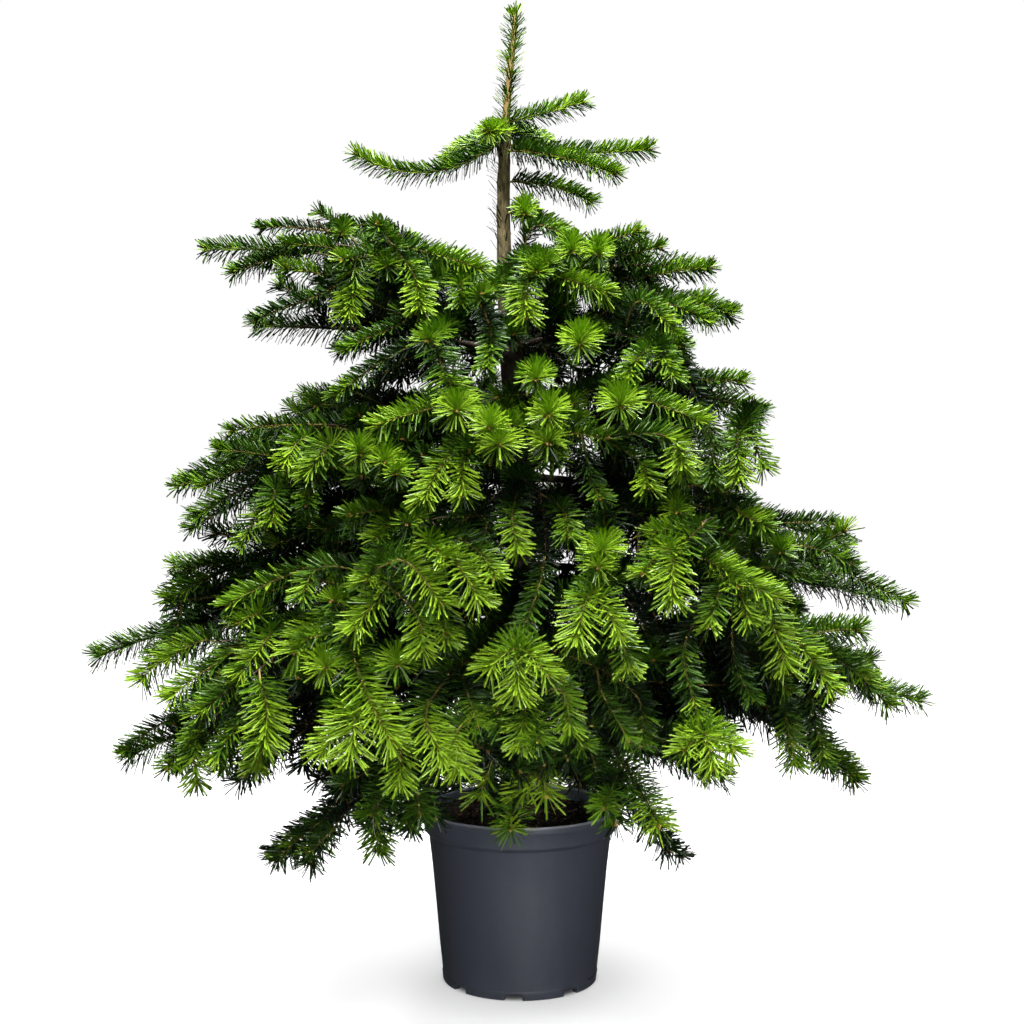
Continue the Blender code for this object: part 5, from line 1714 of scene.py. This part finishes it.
# Painted shade: the hollow under the pot's floor and inside its foot, seen through the notches, is
# made nearly black.
inside = from_axis.maths("LESS_THAN", from_axis, 0.0925) * height.maths("LESS_THAN", height, 0.03)
# Painted highlight: the top of the lip is made lighter.
painted_lip_highlight = graph.node(
    "ShaderNodeMapRange", {}, {"Value": height, "From Min": 0.2165, "From Max": 0.2190}
)
for share, tint in ((painted_lip_highlight, (0.190, 0.200, 0.225, 1)), (inside, (0.004, 0.004, 0.005, 1))):
    colour = graph.node(
        "ShaderNodeMix", {"data_type": "RGBA"}, {"Factor": share, 6: colour, 7: tint}, 2
    )
bump = graph.node(
    "ShaderNodeBump", {}, {"Strength": 0.12, "Distance": 0.0003, "Height": grain + scuff * 0.5}
)
graph.feed(shader.inputs["Base Color"], colour)
graph.feed(shader.inputs["Roughness"], 0.46 + dust * 0.16 - mark * 0.12)
graph.feed(shader.inputs["Normal"], bump)
pot_piece = placed("pot_moulding", skin_mesh("pot_moulding", rings, POT_PLASTIC))
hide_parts("pot")
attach(pot_piece, "root")
print("pot", len(pot_piece.data.polygons), "faces")

# %% [markdown]
# ## Compost
# The pot is filled to a centimetre under its rim with dark compost: peat crumbs and bits of bark,
# heaped a little at the trunk. Its surface is a disc raised by noise, finest near the middle, and the
# crumbs are scattered on it by Geometry Nodes.

# %% Compost surface
SOIL_RADIUS = 0.1146
SOIL_RINGS = 46
SOIL_SIDES = 120


def soil_height(x, y):
    """The height of the compost: heaped a little at the trunk, uneven everywhere."""
    coarse = noise.noise(Vector((x * 28, y * 28, 1.7)))
    fine = noise.noise(Vector((x * 110, y * 110, 5.1)))
    grit = noise.noise(Vector((x * 330, y * 330, 9.3)))
    heap = 0.0040 * math.exp(-((math.hypot(x, y) / 0.040) ** 2))
    return COMPOST_TOP - 0.0030 + heap + 0.0026 * coarse + 0.0014 * fine + 0.0008 * grit


rings = np.zeros((SOIL_RINGS + 2, SOIL_SIDES, 3))
for i in range(SOIL_RINGS + 2):
    radius = 0.1000 if i == 0 else SOIL_RADIUS * (1 - (i - 1) / (SOIL_RINGS + 0.5))
    for j in range(SOIL_SIDES):
        turn = 2 * math.pi * j / SOIL_SIDES
        x, y = radius * math.cos(turn), radius * math.sin(turn)
        rings[i, j] = (x, y, soil_height(x, y) - (0.020 if i == 0 else 0.0))
COMPOST, graph, shader = new_material("peat_compost")
spot = graph.node("ShaderNodeTexCoord", {}, {}, "Object")
clods = stretched_noise(graph, spot, (90, 90, 90), 4.0, 0.7)
crumbs = stretched_noise(graph, spot, (620, 620, 620), 3.0, 0.6)
colour = graph.node(
    "ShaderNodeValToRGB",
    {
        "stops": [
            (0.30, (0.006, 0.004, 0.003)),
            (0.50, (0.020, 0.012, 0.007)),
            (0.64, (0.050, 0.028, 0.015)),
            (0.80, (0.115, 0.066, 0.034)),
        ]
    },
    {"Fac": clods * 0.55 + crumbs * 0.45},
)
graph.feed(shader.inputs["Base Color"], colour)
graph.feed(shader.inputs["Roughness"], 0.98 - clods * 0.15)
bump = graph.node("ShaderNodeBump", {}, {"Strength": 0.7, "Distance": 0.001, "Height": crumbs})
graph.feed(shader.inputs["Normal"], bump)
soil_piece = placed("compost_surface", skin_mesh("compost_surface", rings, COMPOST))
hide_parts("compost")
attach(soil_piece, "root")
print("compost", len(soil_piece.data.polygons), "faces")

# %% [markdown]
# ## Crumbs and bark chips
# Loose bits lie on the compost: round peat crumbs and flat reddish chips. One tree serves both, with
# a different lump and material each time.

# %% Scattered bits
graph, wires = growth_tree("loose_bits", {"Material": ("NodeSocketMaterial", None)})
ball = graph.node("GeometryNodeMeshIcoSphere", {}, {"Radius": 1.0, "Subdivisions": 1})
spot = graph.node("GeometryNodeInputPosition")
rough = graph.node("ShaderNodeTexNoise", {}, {"Vector": spot, "Scale": 1.3, "Detail": 1.0})
swollen = {"Vector": spot, "Scale": rough * 1.2 + 0.4}
grown = graph.node("ShaderNodeVectorMath", {"operation": "SCALE"}, swollen)
lump = graph.node("GeometryNodeSetPosition", {}, {"Geometry": ball, "Position": grown})
facing = graph.node("FunctionNodeEulerToRotation", {}, {"Euler": attribute(graph, "turn")})
bits = graph.node(
    "GeometryNodeInstanceOnPoints",
    {},
    {
        "Points": wires["Geometry"],
        "Instance": lump,
        "Rotation": facing,
        "Scale": attribute(graph, "size"),
    },
)
BITS_TREE = finish_tree(graph, bits, wires["Material"])
CRUMB = wood_material("peat_crumb", (0.030, 0.017, 0.010), 0.95)
CHIP = wood_material("bark_chip", (0.120, 0.060, 0.030), 0.85)
for name, count, small, large, flatness, material in (
    ("compost_crumbs", 900, 0.0009, 0.0024, 0.8, CRUMB),
    ("bark_chips", 170, 0.0016, 0.0042, 0.35, CHIP),
):
    dice = np.random.default_rng(count)
    radii = 0.1125 * np.sqrt(dice.random(count))
    bearing = dice.random(count) * 2 * math.pi
    x, y = radii * np.cos(bearing), radii * np.sin(bearing)
    z = np.array([soil_height(a, b) for a, b in zip(x, y)])
    size = dice.uniform(small, large, (count, 1)) * np.array([[1.0, 0.7, flatness]])
    size *= dice.uniform(0.7, 1.2, (count, 3))
    turns = dice.uniform(-0.5, 0.5, (count, 3)) + np.outer(dice.random(count) * 6.28, (0, 0, 1))
    cloud = point_cloud("cloud", np.stack([x, y, z + size[:, 2] * 0.4], axis=1), turns, size)
    piece = grown_piece(name, cloud, BITS_TREE, {"Material": material})
    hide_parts("compost")
    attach(piece, "root")
    print(name, len(piece.data.polygons), "triangles")

# %% [markdown]
# ## Studio
# The plant stands on a white floor under a white dome. Soft lights above and in front of it do most
# of the work, one behind it lights its edges, and a weak one low down reaches the pot. Floor and dome
# glow for the camera alone and throw no light back, so the inside of the crown keeps its dark. Such a
# floor shows hardly any shadow, so its glow is dimmed round the pot's foot.

# %% Floor and dome


def stage_piece(name, mesh, colour, glow):
    """A part of the studio that glows for the camera and throws no light on the plant."""
    made, _, shader = new_material(name)
    shader.inputs["Base Color"].default_value = (*colour, 1)
    shader.inputs["Roughness"].default_value = 1.0
    shader.inputs["Specular IOR Level"].default_value = 0.0
    shader.inputs["Emission Color"].default_value = (1, 1, 1, 1)
    shader.inputs["Emission Strength"].default_value = glow
    mesh.materials.append(made)
    piece = placed(name, mesh)
    piece.visible_diffuse = False
    piece.visible_glossy = False
    piece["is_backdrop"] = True
    return piece


# How pale the floor shows by the distance from the middle of the pot: a soft shade where they meet.
FLOOR_GREYS = ((0.088, 0.02), (0.100, 0.60), (0.18, 0.84), (0.32, 1.0))
floor_mesh = bpy.data.meshes.new("studio_floor")
floor_mesh.from_pydata([(-9, -9, 0), (9, -9, 0), (9, 9, 0), (-9, 9, 0)], [], [(0, 1, 2, 3)])
stage_piece("studio_floor", floor_mesh, (0.40, 0.40, 0.40), 1.0)
graph = Graph(floor_mesh.materials[0].node_tree)
spot = graph.node("ShaderNodeTexCoord", {}, {}, "Object")
far = graph.node("ShaderNodeVectorMath", {"operation": "LENGTH"}, {0: spot}, "Value")
pale = graph.node(
    "ShaderNodeValToRGB",
    {"stops": tuple((reach, (grey, grey, grey)) for reach, grey in FLOOR_GREYS)},
    {0: far},
)
graph.feed(floor_mesh.materials[0].node_tree.nodes["Principled BSDF"].inputs["Emission Color"], pale)
DOME_RADIUS = 8.0
DOME_RINGS = 25
DOME_SIDES = 48
dome_rings = np.zeros((DOME_RINGS, DOME_SIDES, 3))
for i in range(DOME_RINGS):
    for j in range(DOME_SIDES):
        lift = math.pi * (i / (DOME_RINGS - 1) - 0.5) * 0.98
        turn = 2 * math.pi * j / DOME_SIDES
        flat = math.cos(lift)
        spot = np.array((flat * math.cos(turn), flat * math.sin(turn), math.sin(lift)))
        dome_rings[i, j] = DOME_RADIUS * spot
dome = stage_piece("studio_dome", skin_mesh("studio_dome", dome_rings), (0.0, 0.0, 0.0), 1.0)
dome.visible_shadow = False

# %% Lights and camera
world = bpy.data.worlds.new("studio")
bpy.context.scene.world = world
world.use_nodes = True
world.node_tree.nodes["Background"].inputs["Color"].default_value = (1, 1, 1, 1)
world.node_tree.nodes["Background"].inputs["Strength"].default_value = 0.07


def softbox(name, place, target, size, power, spread=180):
    light = bpy.data.lights.new(name, "AREA")
    light.shape = "DISK"
    light.size = size
    light.energy = power
    light.spread = math.radians(spread)
    lamp = bpy.data.objects.new(name, light)
    lamp.location = place
    aim = Vector(target) - Vector(place)
    lamp.rotation_euler = aim.to_track_quat("-Z", "Y").to_euler()
    bpy.context.scene.collection.objects.link(lamp)
    return lamp


softbox("front_light", (-0.5, -1.7, 2.6), (0, 0, 0.6), 0.7, 77)
softbox("top_light", (0.2, -0.3, 3.0), (0, 0, 0.6), 0.8, 160)
softbox("back_light", (0.9, 2.3, 1.9), (0, 0, 0.55), 1.0, 34)
softbox("low_light", (0.25, -2.2, 0.45), (0, 0, 0.16), 0.6, 1.0, 24)
camera_data = bpy.data.cameras.new("camera")
camera_data.lens = LENS
camera_data.sensor_width = SENSOR
camera = bpy.data.objects.new("camera", camera_data)
camera.location = CAMERA_PLACE
aim = Vector(CAMERA_AIM) - camera.location
camera.rotation_euler = aim.to_track_quat("-Z", "Y").to_euler()
bpy.context.scene.collection.objects.link(camera)
bpy.context.scene.camera = camera
bpy.context.scene.view_settings.view_transform = "Standard"
print("studio ready")

# %% Sizes and finish
sizes = {"cad": CAD_BOX, "visual": [list(corner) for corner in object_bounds()]}
for label, box in sizes.items():
    print(label, [[round(x, 3) for x in corner] for corner in box])
